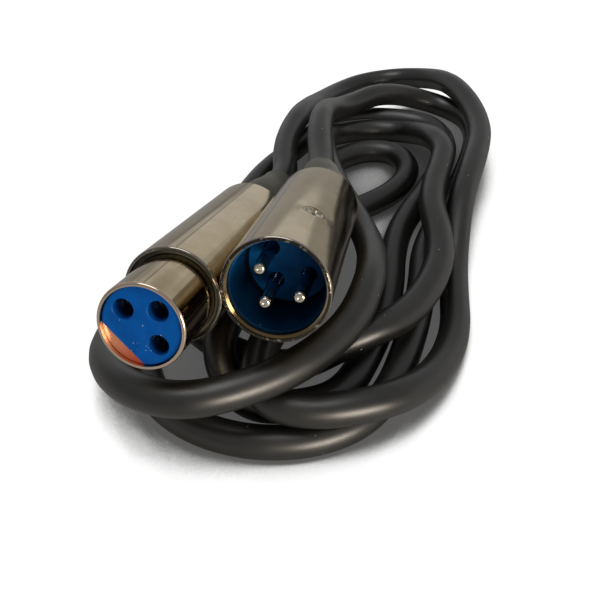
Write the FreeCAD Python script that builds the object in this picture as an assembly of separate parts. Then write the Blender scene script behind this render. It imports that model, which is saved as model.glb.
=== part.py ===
"""A microphone lead with a metre and a half of cable, coiled by hand, its plug and socket on the coil.

Millimetres, +Z up, the coil's flat underside on Z = 0 and both connectors pointing towards -Y.
"""
import math
import os

import FreeCAD
import Part

Vector = FreeCAD.Vector
os.makedirs("parts", exist_ok=True)

# Driving dimensions of the cable
CABLE_DIAMETER = 6.8
CABLE_SIDES = 12

# Driving dimensions of both connectors
BARREL_RADIUS = 9.5
BARREL_TAPER = 0.2
RIM_ROUND = 0.4
PIN_RADIUS = 1.195
PIN_SHOULDER = 1.5
PIN_CIRCLE = 4.2
PIN_SPREAD = 95.0
SLIDE_CLEARANCE = 0.03
FIT_CLEARANCE = 0.05

# Male connector, measured back from its rim
MALE_LENGTH = 50.9
SHELL_WALL = 1.0
CUP_DEPTH = 14.0
LINER_FRONT = 2.0
LINER_WALL = 0.3
MOUTH_WALL = 0.7
MOUTH_DEPTH = 1.0
PIN_RECESS = 2.5
MALE_MIDDLE_PIN = 238.0
WIRE_ROOM = 5.9

# Female connector, measured back from its nose
NOSE_RADIUS = 7.95
NOSE_BORE = 7.3
NOSE_LENGTH = 13.7
FEMALE_BARREL_LENGTH = 49.2
FEMALE_MOUTH_RADIUS = 8.9
FEMALE_MOUTH_DEPTH = 7.0
FEMALE_BORE = 8.0
FEMALE_MIDDLE_HOLE = 48.0
D_FLAT = 5.1
LATCH_CHANNEL = 3.6
CONTACT_HOLE = 1.6
CONTACT_RADIUS = 1.5
CONTACT_BORE = 1.25

# Boots, clamps and screws
BOOT_RADIUS = 7.3
BOOT_TAPER = (1.0, 0.97, 0.9, 0.66)
BOOT_SIDES = 36
BOOT_COLLAR = 7.0
CLAMP_REACH = 16.0
CLAMP_LENGTH = 6.0
WIRE_RADIUS = 0.7
WIRE_SIDES = 12

MALE_JAW_GAP = 0.6
FEMALE_JAW_GAP = 0.1
JAW_GAP = 1.0
JAW_SCREW_RADIUS = 0.9
JAW_SCREW_PLACE = 5.6
JAW_SCREW_LENGTH = 8.0
WIRE_CORE_CIRCLE = 1.6
SOLDER_CUP_LENGTH = 6.0
SOLDER_CUP_FLOOR = 1.0
SET_SCREW_RADIUS = 2.1
SET_SCREW_LENGTH = 0.8
SET_SLOT_WIDTH = 0.6
SET_SLOT_DEPTH = 0.5
MALE_SCREW_ANGLE = 68.0
MALE_SCREW_BACK = 18.0
MALE_SCREW_SINK = 0.2

# The socket's insert and latch, measured back from the nose and out from the axis
SLEEVE_TUCK = 6.0
FACE_RECESS = 0.6
INSERT_REAR = 24.0
HOLE_MOUTH = 1.85
CHAMFER_RADIUS = 2.0
CONTACT_FRONT = 5.0
KEEPER_FRONT = 0.9
KEEPER_REAR = 3.0
SEAL_RECESS = 0.6
LATCH_ANGLE = FEMALE_MIDDLE_HOLE + 180.0
LATCH_PRESS = 1.4
LEVER_BOTTOM = 5.5
LEVER_TOP = 6.8
LEVER_WIDTH = 5.0
LEVER_FRONT = 5.0
LEVER_TAIL = 2.0
HOOK_WIDTH = 4.0
HOOK_TOP = 8.5
HOOK_FRONT = 8.0
HOOK_REAR = 10.5
BUTTON_TOP = 10.3
BUTTON_FRONT = 23.0
BUTTON_REAR = 33.0
WINDOW_GAP = 0.4
PIVOT_BACK = 38.0
PIVOT_PLACE = 6.15
PIVOT_RADIUS = 0.6
PIVOT_HALF = 4.2
CARRIER_BORE = 5.9
CARRIER_REAR = 42.0
LEAF_WIDTH = 3.0
LEAF_TOP = 4.3
LEAF_THICKNESS = 0.3
LEAF_FRONT = 14.0
LEAF_REAR = 20.0

# How the coil's tube is rounded and checked
ARC_SHARE = 0.45
GAP_STEP = 1.0
GAP_SKIP = 3 * CABLE_DIAMETER

# Where the connectors lie: rim centre, then the way the axis runs back, compass angle from +Y and droop
MALE_RIM = Vector(-11.6, -74.9, 36)
MALE_HEADING = 9.5
FEMALE_RIM = Vector(-33.8, -78.7, 31.4)
FEMALE_HEADING = 13.5
DROOP = 17.6

# Where the cable leaves each boot, and which way it points there
MALE_EXIT = Vector(-2.3, -9.5, 18.5)
MALE_EXIT_HEADING = 4.0
MALE_EXIT_DROOP = 6.0
FEMALE_EXIT = Vector(-13.3, -3, 11)
FEMALE_EXIT_HEADING = 18.0
FEMALE_EXIT_DROOP = 4.0

# The cable's route from the socket to the plug, turn by turn
SOCKET_TURN = [
    (-12, 16.5, 10.4), (-10.6, 27.5, 10.4), (-8.1, 37.5, 10.3), (-5.2, 47, 8.5), (-0.8, 58.5, 5.2),
    (5.5, 70, 3.2), (14.5, 79, 2.7), (26.5, 82.3, 3.1), (36, 75.8, 6), (41.8, 65, 9.7),
    (45.2, 52, 10.7), (46.6, 38, 10.4), (45.6, 26.5, 10.4), (42, 14.5, 10.4), (38, 3.5, 10.2),
    (34.4, -7, 9.2), (32, -17, 6.4), (30.1, -27, 3.2), (28.6, -37.5, 2.7), (27.2, -48.5, 2.7),
    (23.5, -58.5, 3.8), (18.2, -67.3, 6.2), (10.8, -74.5, 9.2), (1.8, -78, 10.2), (-6.5, -78.7, 10.2),
    (-13.5, -76.5, 10.2), (-16.3, -70.5, 10.5), (-15, -61.5, 10.9), (-11, -52.5, 9.9), (-6, -43.5, 5.9),
    (-3.5, -32.5, 2.7), (-2.5, -20.5, 2.7), (0, -9.5, 2.7)]
BIGHT = [
    (7, -2.2, 2.7), (15.3, 3.8, 2.7), (21.6, 11, 2.7), (24.9, 20.5, 2.7), (21.5, 29.3, 2.7),
    (13, 31, 2.7), (4.5, 26, 2.7), (-2.2, 19.2, 2.7), (-6.6, 11, 2.7), (-8.8, 0, 2.7),
    (-10, -12.5, 2.7), (-10.8, -22.5, 2.7)]
INNER_TURN = [
    (-14.5, -32.5, 2.7), (-19, -43.5, 6.1), (-22.8, -53.8, 10.75), (-24.5, -63, 8.5), (-19, -71, 3),
    (-8, -71.5, 2.7), (1.5, -67.7, 2.7), (7, -56.5, 2.7), (11.4, -45, 2.7), (14.2, -33, 2.7),
    (15.6, -22, 2.7), (18, -12.5, 2.7), (21.8, -3.8, 2.7), (26.5, 4.7, 2.7), (31, 13.8, 2.7),
    (34.8, 22.8, 2.7), (37.4, 32, 2.7), (37.1, 41.3, 2.7), (33, 48.2, 2.7), (25.5, 51.2, 2.7),
    (16.5, 52.3, 2.7), (7.8, 51.4, 2.7), (0.5, 46, 2.7), (-5.3, 38, 2.7), (-11, 28.5, 2.7),
    (-17.5, 18.5, 2.7), (-22.5, 5.5, 2.7), (-28, -7.5, 2.7)]
OUTER_TURN = [
    (-34, -20, 2.7), (-41, -32.5, 2.7), (-45.6, -44, 4.2), (-47.7, -55.5, 6.9), (-46, -66.5, 10.8),
    (-39.5, -77, 14.8), (-28.5, -82.6, 17), (-16.5, -79.5, 17.5), (-6, -72.8, 17.5), (2.5, -63, 17.8),
    (7, -50.5, 17.8), (8.7, -38.5, 15), (8.5, -26.5, 11.5), (6, -14.5, 10.2), (2.5, -2.5, 10.3),
    (0.3, 9, 10.4), (-0.9, 20, 10.5), (0, 28.5, 9.2), (3.2, 36.5, 5), (9, 42, 3.3), (17.5, 44.3, 2.7),
    (25, 41.8, 3.2), (29.3, 34.5, 6.4), (31.8, 26.5, 9.6)]
PLUG_TURN = [
    (33.6, 17.5, 10.6), (31.2, 8.5, 10.5), (28, -1, 10.4), (25.8, -11.5, 10.5), (26.2, -22.5, 10.5),
    (25, -33.5, 10.3), (20.6, -44.3, 10.3), (14.2, -53.7, 10.4), (3.6, -60, 11), (-8.2, -62, 4.1),
    (-17, -58.5, 2.7), (-26, -53.3, 2.7), (-32, -46.8, 2.7), (-38.5, -47.5, 2.7), (-41, -55, 2.7),
    (-39.5, -63.5, 2.7), (-34.8, -71.2, 2.7), (-26.5, -77.2, 2.7), (-16, -80.2, 2.7), (-5, -79.6, 2.7),
    (4.8, -75, 2.7), (11.3, -66.3, 2.7), (15.8, -54.5, 2.7), (19.3, -43.5, 2.7), (21.7, -32.5, 2.7),
    (23.5, -21.5, 2.7), (27.5, -10.7, 2.7), (32.4, -0.4, 2.7), (37.5, 10, 2.7), (41.8, 20.3, 2.7),
    (45.4, 30.8, 2.7), (48, 41.5, 2.7), (47.2, 52.5, 2.7), (41, 60.5, 2.7), (33, 62, 4.6),
    (24.5, 58.8, 7.9), (16.5, 52.8, 10.5), (9.8, 46, 10.8), (4, 39.3, 12.2), (0.4, 32, 15.5),
    (-1.3, 23.5, 17.7), (-2.2, 13, 18.1)]


def compass(heading, droop):
    """Gives the unit vector at a compass angle from +Y, drooping below level."""
    turn, fall = math.radians(heading), math.radians(droop)
    return Vector(math.sin(turn) * math.cos(fall), math.cos(turn) * math.cos(fall), -math.sin(fall))


def cylinder(radius, front, rear, centre=(0, 0)):
    """Makes a round bar along the connector's axis, from a front to a rear distance behind the rim."""
    return Part.makeCylinder(radius, rear - front, Vector(centre[0], centre[1], -rear))


def tube(outer, inner, front, rear, centre=(0, 0)):
    """Makes a round tube along the connector's axis."""
    return cylinder(outer, front, rear, centre).cut(cylinder(inner, front, rear, centre))


def cone(front_radius, rear_radius, front, rear):
    """Makes a bar that tapers along the connector's axis."""
    return Part.makeCone(rear_radius, front_radius, rear - front, Vector(0, 0, -rear))


def around(angle, radius):
    """Gives a point on a circle about the connector's axis, seen from its front."""
    return (radius * math.cos(math.radians(angle)), radius * math.sin(math.radians(angle)))


def radial_block(angle, inner, outer, width, front, rear):
    """Makes a block that reaches outwards from the axis at an angle."""
    block = Part.makeBox(outer - inner, width, rear - front, Vector(inner, -width / 2, -rear))
    block.rotate(Vector(0, 0, 0), Vector(0, 0, 1), angle)
    return block


def radial_pin(angle, radius, inner, outer, back):
    """Makes a round bar that reaches outwards from the axis at an angle."""
    pin = Part.makeCylinder(radius, outer - inner, Vector(inner, 0, -back), Vector(1, 0, 0))
    pin.rotate(Vector(0, 0, 0), Vector(0, 0, 1), angle)
    return pin


def placed(shape, rim, heading):
    """Moves a connector's piece from its own axis to where the connector lies."""
    back = compass(heading, DROOP)
    across = Vector(math.cos(math.radians(heading)), -math.sin(math.radians(heading)), 0)
    upward = (back * -1).cross(across)
    moved = shape.copy()
    frame = FreeCAD.Placement(rim, FreeCAD.Rotation(across, upward, back * -1, "ZXY"))
    moved.Placement = frame.multiply(shape.Placement)
    return moved


def rounded_rims(shape, places):
    """Rounds the circular edges of the given radii at the given distances behind the rim."""
    edges = [edge for edge in shape.Edges for radius, back in places
             if edge.Curve.TypeId == "Part::GeomCircle" and abs(edge.Curve.Radius - radius) < RIM_ROUND / 10
             and abs(edge.Curve.Center.z + back) < RIM_ROUND / 10]
    return shape.makeFillet(RIM_ROUND, edges)


def export(name, shape):
    """Writes one sub-part and prints what it holds."""
    assert shape.isValid(), name
    shape.exportStep("parts/" + name + ".step")
    print("%-24s %8.1f mm3" % (name, shape.Volume))


def contact_angles(middle):
    """Gives the places of the three contacts round the pin circle."""
    return {"one": middle - PIN_SPREAD, "middle": middle, "two": middle + PIN_SPREAD}


# Bending rubber boots and what runs through them

def flexed(start, start_way, end, end_way, share):
    """Gives a point and a direction on the gentle bend from a barrel's rear to the cable's exit."""
    reach = (end - start).Length
    p0, p3 = start, end
    p1, p2 = p0 + start_way * (reach / 3), p3 - end_way * (reach / 3)
    rest = 1 - share
    point = p0 * rest ** 3 + p1 * (3 * rest ** 2 * share) + p2 * (3 * rest * share ** 2) + p3 * share ** 3
    way = (p1 - p0) * rest ** 2 + (p2 - p1) * (2 * rest * share) + (p3 - p2) * share ** 2
    return point, way.normalize()


def many_sided(centre, way, radius, sides):
    """Makes a many-sided outline round a centre, square to the way it faces."""
    level = Vector(1, 0, 0) if abs(way.z) > 0.9 else Vector(0, 0, 1)
    across = way.cross(level).normalize()
    upward = across.cross(way).normalize()
    angles = [2 * math.pi * side / sides for side in range(sides + 1)]
    spokes = [across * math.cos(angle) + upward * math.sin(angle) for angle in angles]
    return Part.makePolygon([centre + spoke * radius for spoke in spokes])


def loft_along(stations, sides):
    """Makes a many-sided solid through rings, each given by its centre, its direction and its radius."""
    return Part.makeLoft([many_sided(point, way, radius, sides) for point, way, radius in stations], True, True)


def boot_and_core(rim, heading, length, exit_point, exit_heading, exit_droop):
    """Makes a connector's rubber boot and the length of cable inside it."""
    back = compass(heading, DROOP)
    leave = compass(exit_heading, exit_droop)
    rear = rim + back * length
    inside = [(rear - back * BOOT_COLLAR, back), (rear, back)]
    shares = (0.25, 0.5, 0.75, 1.0)
    outside = [flexed(rear, back, exit_point, leave, share) for share in shares]
    radii = [BOOT_RADIUS * taper for taper in BOOT_TAPER]
    rings = [(p, w, BOOT_RADIUS) for p, w in inside] + [(p, w, r) for (p, w), r in zip(outside, radii)]
    skin = loft_along(rings, BOOT_SIDES)
    straight = Part.makeCylinder(CABLE_DIAMETER / 2, CLAMP_REACH, rear - back * CLAMP_REACH, back)
    bend = loft_along([(p, w, CABLE_DIAMETER / 2) for p, w in [(rear, back)] + outside], BOOT_SIDES)
    return skin.cut(straight).cut(bend), straight.fuse(bend)


# The coil's tube

def rounded_path(points):
    """Joins the route's points by straight runs and tangent arcs, and lists the arcs' radii."""
    corners = [Vector(*point) for point in points]
    edges, radii, last = [], [], corners[0]
    for before, corner, after in zip(corners, corners[1:], corners[2:]):
        back, forth = before - corner, after - corner
        shorter = min(back.Length, forth.Length)
        back.normalize()
        forth.normalize()
        turn = math.pi - back.getAngle(forth)
        cut = ARC_SHARE * shorter
        radii.append(cut / math.tan(turn / 2))
        start, end = corner + back * cut, corner + forth * cut
        inward = (back + forth).normalize()
        middle = corner + inward * (radii[-1] / math.cos(turn / 2) - radii[-1])
        edges.append(Part.LineSegment(last, start).toShape())
        edges.append(Part.Arc(start, middle, end).toShape())
        last = end
    edges.append(Part.LineSegment(last, corners[-1]).toShape())
    return Part.Wire(edges), radii


def least_self_gap(path):
    """Measures the clear space between the cable and itself on points a millimetre apart."""
    points = path.discretize(Distance=GAP_STEP)
    skip = int(GAP_SKIP / GAP_STEP)
    cells = {}
    for index, point in enumerate(points):
        cells.setdefault(tuple(int(value // CABLE_DIAMETER) for value in point), []).append(index)
    least = 10 * CABLE_DIAMETER
    steps = (-1, 0, 1)
    for (i, j, k), members in cells.items():
        near = [n for a in steps for b in steps for c in steps for n in cells.get((i + a, j + b, k + c), [])]
        for one in members:
            for other in near:
                if other - one > skip:
                    least = min(least, (points[one] - points[other]).Length)
    return least - CABLE_DIAMETER


def coil_route():
    """Gives the whole route, from where the cable leaves the socket's boot to where it enters the plug's."""
    out = FEMALE_EXIT + compass(FEMALE_EXIT_HEADING, FEMALE_EXIT_DROOP) * CABLE_DIAMETER
    into = MALE_EXIT + compass(MALE_EXIT_HEADING, MALE_EXIT_DROOP) * CABLE_DIAMETER
    turns = SOCKET_TURN + BIGHT + INNER_TURN + OUTER_TURN + PLUG_TURN
    return [tuple(FEMALE_EXIT), tuple(out)] + turns + [tuple(into), tuple(MALE_EXIT)]


def cable_coil():
    """Makes the free cable as one tube, cut flat underneath, and prints its length, radii and gap."""
    path, radii = rounded_path(coil_route())
    leave = compass(FEMALE_EXIT_HEADING, FEMALE_EXIT_DROOP)
    section = many_sided(FEMALE_EXIT, leave, CABLE_DIAMETER / 2, CABLE_SIDES)
    coil = path.makePipeShell([section], True, False)
    expected = path.Length * Part.Face(section).Area
    print("cable %.0f mm free, volume %.4f of section times length" % (path.Length, coil.Volume / expected))
    print("arc radii", " ".join("%.1f" % radius for radius in radii))
    print("least gap of the cable to itself %.2f mm" % least_self_gap(path))
    box = coil.BoundBox
    slab = Part.makeBox(box.XLength, box.YLength, CABLE_DIAMETER, Vector(box.XMin, box.YMin, -CABLE_DIAMETER))
    return max(coil.cut(slab).Solids, key=lambda solid: solid.Volume)


# Pieces that both connectors have

def clamp_jaws(name, length, radius, place):
    """Makes the two jaws that grip the cable inside a barrel, and the screws that draw them together."""
    front = length - CLAMP_REACH
    rear = front + CLAMP_LENGTH
    ring = tube(radius, CABLE_DIAMETER / 2, front, rear)
    half = Part.makeBox(2 * radius, radius, CLAMP_LENGTH, Vector(-radius, JAW_GAP / 2, -rear))
    lower_corner = Vector(-radius, -JAW_GAP / 2 - radius, -rear)
    lower = Part.makeBox(2 * radius, radius, CLAMP_LENGTH, lower_corner)
    middle = (front + rear) / 2
    upper_jaw, lower_jaw = ring.common(half), ring.common(lower)
    for side, end in (("left", -1), ("right", 1)):
        start = Vector(end * JAW_SCREW_PLACE, -JAW_SCREW_LENGTH / 2, -middle)
        screw = Part.makeCylinder(JAW_SCREW_RADIUS, JAW_SCREW_LENGTH, start, Vector(0, 1, 0))
        upper_jaw, lower_jaw = upper_jaw.cut(screw), lower_jaw.cut(screw)
        export("%s_clamp_screw_%s" % (name, side), place(screw))
    export(name + "_clamp_upper", place(upper_jaw))
    export(name + "_clamp_lower", place(lower_jaw))


def wires(name, angles, start, end, place):
    """Makes the three insulated wires from the cable's end to the solder cups."""
    for title, angle in angles.items():
        near, far = around(angle, PIN_CIRCLE), around(angle, WIRE_CORE_CIRCLE)
        stations = [(near, 0.0), (near, 0.3), (far, 0.8), (far, 1.0)]
        rings = [(Vector(x, y, -start - (end - start) * share), Vector(0, 0, -1), WIRE_RADIUS)
                 for (x, y), share in stations]
        export("%s_wire_%s" % (name, title), place(loft_along(rings, WIRE_SIDES)))


def set_screw(angle, back, outer):
    """Makes a slotted set screw and the hole that it fills in a barrel wall."""
    screw = radial_pin(angle, SET_SCREW_RADIUS, outer - SET_SCREW_LENGTH, outer, back)
    slot = radial_block(angle, outer - SET_SLOT_DEPTH, outer + 1, SET_SLOT_WIDTH, back - 2 * SET_SCREW_RADIUS,
                        back + 2 * SET_SCREW_RADIUS)
    hole = radial_pin(angle, SET_SCREW_RADIUS + FIT_CLEARANCE, CLAMP_LENGTH, 2 * BARREL_RADIUS, back)
    return screw.cut(slot), hole


# The plug, with three pins in a cup

def male_connector():
    """Makes the plug's pieces."""
    def place(shape):
        return placed(shape, MALE_RIM, MALE_HEADING)

    angles = contact_angles(MALE_MIDDLE_PIN)
    screw, hole = set_screw(MALE_SCREW_ANGLE, MALE_SCREW_BACK, BARREL_RADIUS - MALE_SCREW_SINK)
    bore = BARREL_RADIUS - SHELL_WALL
    liner_radius = bore - FIT_CLEARANCE
    rear_radius = BARREL_RADIUS - BARREL_TAPER
    shell = rounded_rims(cone(BARREL_RADIUS, rear_radius, 0, MALE_LENGTH),
                         ((BARREL_RADIUS, 0), (rear_radius, MALE_LENGTH)))
    shell = shell.cut(cylinder(bore, 0, MALE_LENGTH))
    export("plug_shell", place(shell.cut(cylinder(BARREL_RADIUS - MOUTH_WALL, 0, MOUTH_DEPTH)).cut(hole)))
    export("plug_set_screw", place(screw))
    insert_rear = MALE_LENGTH - CLAMP_REACH - WIRE_ROOM - SOLDER_CUP_LENGTH
    insert = cylinder(liner_radius, LINER_FRONT, insert_rear)
    insert = insert.cut(cylinder(liner_radius - LINER_WALL, LINER_FRONT, CUP_DEPTH))
    cup_rear = insert_rear + SOLDER_CUP_LENGTH
    for title, angle in angles.items():
        centre = around(angle, PIN_CIRCLE)
        pin = cylinder(PIN_RADIUS, PIN_RECESS + PIN_RADIUS, CUP_DEPTH, centre)
        tip = Part.makeSphere(PIN_RADIUS, Vector(centre[0], centre[1], -PIN_RECESS - PIN_RADIUS))
        stem = cylinder(PIN_SHOULDER, CUP_DEPTH, cup_rear, centre)
        stem = stem.cut(cylinder(WIRE_RADIUS, insert_rear + SOLDER_CUP_FLOOR, cup_rear, centre))
        insert = insert.cut(cylinder(PIN_SHOULDER, CUP_DEPTH, insert_rear, centre))
        export("plug_pin_" + title, place(pin.fuse([tip, stem]).removeSplitter()))
    export("plug_insert", place(insert))
    wires("plug", angles, cup_rear, MALE_LENGTH - CLAMP_REACH, place)
    clamp_jaws("plug", MALE_LENGTH, bore - MALE_JAW_GAP, place)
    boot, core = boot_and_core(MALE_RIM, MALE_HEADING, MALE_LENGTH,
                               MALE_EXIT, MALE_EXIT_HEADING, MALE_EXIT_DROOP)
    export("plug_boot", boot)
    export("plug_cable_end", core)


# The socket, with three contacts behind holes and a latch

def female_barrel(place):
    """Makes the socket's barrel, with the latch button's window."""
    rear = NOSE_LENGTH + FEMALE_BARREL_LENGTH
    rear_radius = BARREL_RADIUS - BARREL_TAPER
    barrel = rounded_rims(cone(BARREL_RADIUS, rear_radius, NOSE_LENGTH, rear),
                          ((BARREL_RADIUS, NOSE_LENGTH), (rear_radius, rear)))
    barrel = barrel.cut(cylinder(FEMALE_BORE, NOSE_LENGTH, rear))
    barrel = barrel.cut(cylinder(FEMALE_MOUTH_RADIUS, NOSE_LENGTH, NOSE_LENGTH + FEMALE_MOUTH_DEPTH))
    window = radial_block(LATCH_ANGLE, LEVER_TOP, 2 * BARREL_RADIUS, LEVER_WIDTH + 2 * WINDOW_GAP,
                          BUTTON_FRONT - WINDOW_GAP, BUTTON_REAR + WINDOW_GAP)
    export("socket_barrel", place(barrel.cut(window)))
    seal = tube(FEMALE_MOUTH_RADIUS, NOSE_RADIUS, NOSE_LENGTH + SEAL_RECESS, NOSE_LENGTH + FEMALE_MOUTH_DEPTH)
    export("socket_seal_ring", place(seal))


def female_nose(place):
    """Makes the nose sleeve, the insert with its flat side and the plate that closes the flat side's gap."""
    sleeve_rear = NOSE_LENGTH + SLEEVE_TUCK
    sleeve = rounded_rims(tube(NOSE_RADIUS, NOSE_BORE, 0, sleeve_rear), ((NOSE_RADIUS, 0),))
    slot = radial_block(LATCH_ANGLE, LEVER_BOTTOM - LATCH_PRESS, 2 * NOSE_RADIUS, HOOK_WIDTH + 2 * WINDOW_GAP,
                        HOOK_FRONT - WINDOW_GAP, HOOK_REAR + WINDOW_GAP)
    export("socket_nose", place(sleeve.cut(slot)))
    insert = rounded_rims(cylinder(NOSE_BORE - FIT_CLEARANCE, FACE_RECESS, INSERT_REAR),
                          ((NOSE_BORE - FIT_CLEARANCE, FACE_RECESS),))
    insert = insert.cut(radial_block(LATCH_ANGLE, D_FLAT, 2 * NOSE_RADIUS, 4 * NOSE_RADIUS, 0, INSERT_REAR))
    channel_width = LEVER_WIDTH + 2 * WINDOW_GAP
    channel = radial_block(LATCH_ANGLE, LATCH_CHANNEL, D_FLAT, channel_width, KEEPER_REAR, INSERT_REAR)
    insert = insert.cut(channel)
    for centre in (around(angle, PIN_CIRCLE) for angle in contact_angles(FEMALE_MIDDLE_HOLE).values()):
        insert = insert.cut(cylinder(CONTACT_HOLE, CONTACT_FRONT, INSERT_REAR, centre))
        insert = insert.cut(cylinder(HOLE_MOUTH, FACE_RECESS, CONTACT_FRONT, centre))
        mouth = Part.makeCone(HOLE_MOUTH, CHAMFER_RADIUS, CHAMFER_RADIUS - HOLE_MOUTH,
                              Vector(centre[0], centre[1], -FACE_RECESS - CHAMFER_RADIUS + HOLE_MOUTH))
        insert = insert.cut(mouth)
    export("socket_insert", place(insert))
    keeper = cylinder(NOSE_BORE - FIT_CLEARANCE, KEEPER_FRONT, KEEPER_REAR)
    export("socket_keeper_plate", place(keeper.common(
        radial_block(LATCH_ANGLE, D_FLAT, 2 * NOSE_RADIUS, 4 * NOSE_RADIUS, KEEPER_FRONT, KEEPER_REAR))))


def female_latch(place):
    """Makes the latch lever, its pin, its leaf spring and the carrier that holds them."""
    lever_rear = PIVOT_BACK + LEVER_TAIL
    lever = radial_block(LATCH_ANGLE, LEVER_BOTTOM, LEVER_TOP, LEVER_WIDTH, LEVER_FRONT, lever_rear)
    hook = radial_block(LATCH_ANGLE, LEVER_TOP, HOOK_TOP, HOOK_WIDTH, HOOK_FRONT, HOOK_REAR)
    button = radial_block(LATCH_ANGLE, LEVER_TOP, BUTTON_TOP, LEVER_WIDTH, BUTTON_FRONT, BUTTON_REAR)
    pivot = Vector(PIVOT_PLACE, -PIVOT_HALF, -PIVOT_BACK)
    pin = Part.makeCylinder(PIVOT_RADIUS, 2 * PIVOT_HALF, pivot, Vector(0, 1, 0))
    eye = Part.makeCylinder(PIVOT_RADIUS + SLIDE_CLEARANCE, 2 * PIVOT_HALF, pivot, Vector(0, 1, 0))
    for shape in (pin, eye):
        shape.rotate(Vector(0, 0, 0), Vector(0, 0, 1), LATCH_ANGLE)
    export("socket_latch", place(lever.fuse([hook, button]).cut(eye).removeSplitter()))
    export("socket_latch_pin", place(pin))
    carrier = tube(FEMALE_BORE - FIT_CLEARANCE, CARRIER_BORE, INSERT_REAR, CARRIER_REAR)
    slit_width = LEVER_WIDTH + 2 * WINDOW_GAP
    slit = radial_block(LATCH_ANGLE, LATCH_CHANNEL, 2 * FEMALE_BORE, slit_width, INSERT_REAR, CARRIER_REAR)
    carrier = carrier.cut(slit)
    export("socket_latch_carrier", place(carrier.cut(pin)))
    leaf_back = LEAF_FRONT + LEAF_THICKNESS
    leaf = radial_block(LATCH_ANGLE, LATCH_CHANNEL, LEAF_TOP, LEAF_WIDTH, LEAF_FRONT, leaf_back)
    leaf_underside = LATCH_CHANNEL + LEAF_THICKNESS
    foot = radial_block(LATCH_ANGLE, LATCH_CHANNEL, leaf_underside, LEAF_WIDTH, LEAF_FRONT, LEAF_REAR)
    export("socket_latch_spring", place(leaf.fuse(foot).removeSplitter()))


def female_connector():
    """Makes the socket's pieces."""
    def place(shape):
        return placed(shape, FEMALE_RIM, FEMALE_HEADING)

    rear = NOSE_LENGTH + FEMALE_BARREL_LENGTH
    angles = contact_angles(FEMALE_MIDDLE_HOLE)
    female_barrel(place)
    female_nose(place)
    female_latch(place)
    cup_rear = INSERT_REAR + SOLDER_CUP_LENGTH
    for title, angle in angles.items():
        centre = around(angle, PIN_CIRCLE)
        contact = tube(CONTACT_RADIUS, CONTACT_BORE, CONTACT_FRONT, INSERT_REAR, centre)
        contact = contact.fuse(tube(CONTACT_RADIUS, WIRE_RADIUS, INSERT_REAR, cup_rear, centre))
        stop_front = INSERT_REAR - SOLDER_CUP_FLOOR
        stop = cylinder(CONTACT_RADIUS, stop_front, INSERT_REAR + SOLDER_CUP_FLOOR, centre)
        export("socket_contact_" + title, place(contact.fuse(stop).removeSplitter()))
    wires("socket", angles, cup_rear, rear - CLAMP_REACH, place)
    clamp_jaws("socket", rear, FEMALE_BORE - FEMALE_JAW_GAP, place)
    boot, core = boot_and_core(FEMALE_RIM, FEMALE_HEADING, rear,
                               FEMALE_EXIT, FEMALE_EXIT_HEADING, FEMALE_EXIT_DROOP)
    export("socket_boot", boot)
    export("socket_cable_end", core)


male_connector()
female_connector()
export("cable_coil", cable_coil())
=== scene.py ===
"""A hand coiled microphone lead on a white table, with satin nickel connectors and rubber boots."""

import logging
import math
from dataclasses import dataclass
from enum import Enum
from typing import Callable, Optional, Sequence, Tuple, Union

import bpy
import numpy as np
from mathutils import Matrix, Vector


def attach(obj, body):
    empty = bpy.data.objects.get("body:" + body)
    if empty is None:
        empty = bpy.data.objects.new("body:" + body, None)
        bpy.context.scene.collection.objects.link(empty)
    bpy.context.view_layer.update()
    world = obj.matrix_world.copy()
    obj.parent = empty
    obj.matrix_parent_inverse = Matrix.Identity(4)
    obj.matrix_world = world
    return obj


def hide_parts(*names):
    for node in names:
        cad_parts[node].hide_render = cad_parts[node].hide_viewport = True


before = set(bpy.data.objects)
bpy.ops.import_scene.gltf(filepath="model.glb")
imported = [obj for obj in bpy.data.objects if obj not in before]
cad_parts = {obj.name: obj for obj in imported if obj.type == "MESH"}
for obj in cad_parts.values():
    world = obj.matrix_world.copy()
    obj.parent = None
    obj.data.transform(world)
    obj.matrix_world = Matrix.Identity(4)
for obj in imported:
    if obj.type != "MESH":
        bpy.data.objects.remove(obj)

LOG = logging.getLogger("scene")
MM = 0.001
# The body that every new piece rides on
LEAD = "lead"
Point = Tuple[float, float, float]
Output = bpy.types.NodeSocket
Value = Union[Output, float]
Colour = Union[Output, str]


class Slot(Enum):
    """The record's material slots; here they only key the plastics and rubbers that the new pieces take."""

    BOOT = "boot_rubber"
    JACKET = "cable_jacket"
    WIRE_WHITE = "wire_white"
    WIRE_RED = "wire_red"
    WIRE_BARE = "wire_bare"
    PLATING = "contact_plating"
    PLASTIC = "black_plastic"
    STEEL = "steel"


def compass(heading: float, droop: float) -> Vector:
    """Gives the unit vector at a compass angle from +Y, drooping below level.

    Args:
        heading: degrees from +Y towards +X.
        droop: degrees below level.

    Returns:
        The direction.
    """
    turn, fall = math.radians(heading), math.radians(droop)
    return Vector((math.sin(turn) * math.cos(fall), math.cos(turn) * math.cos(fall), -math.sin(fall)))


@dataclass(frozen=True)
class Viewpoint:
    """The camera that the photograph was taken from.

    Attributes:
        place: where it is, in millimetres in the part's frame.
        pitch: how far it looks down, in degrees.
        focal_pixels: its focal length, in pixels of the photograph.
        picture: the photograph's width, in pixels.
        sensor: the sensor's width, in millimetres.
    """

    place: Point = (-7.5, -164.5, 112.3)
    pitch: float = 41.1
    focal_pixels: float = 716.0
    picture: int = 600
    sensor: float = 36.0

    def build(self) -> None:
        """Sets the camera."""
        lens = bpy.data.cameras.new("camera")
        lens.sensor_width = self.sensor
        lens.lens = self.focal_pixels / self.picture * self.sensor
        lens.clip_start = MM
        eye = bpy.data.objects.new("camera", lens)
        eye.location = Vector(self.place) * MM
        eye.rotation_euler = (math.radians(90 - self.pitch), 0, 0)
        bpy.context.scene.collection.objects.link(eye)
        bpy.context.scene.camera = eye


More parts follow.
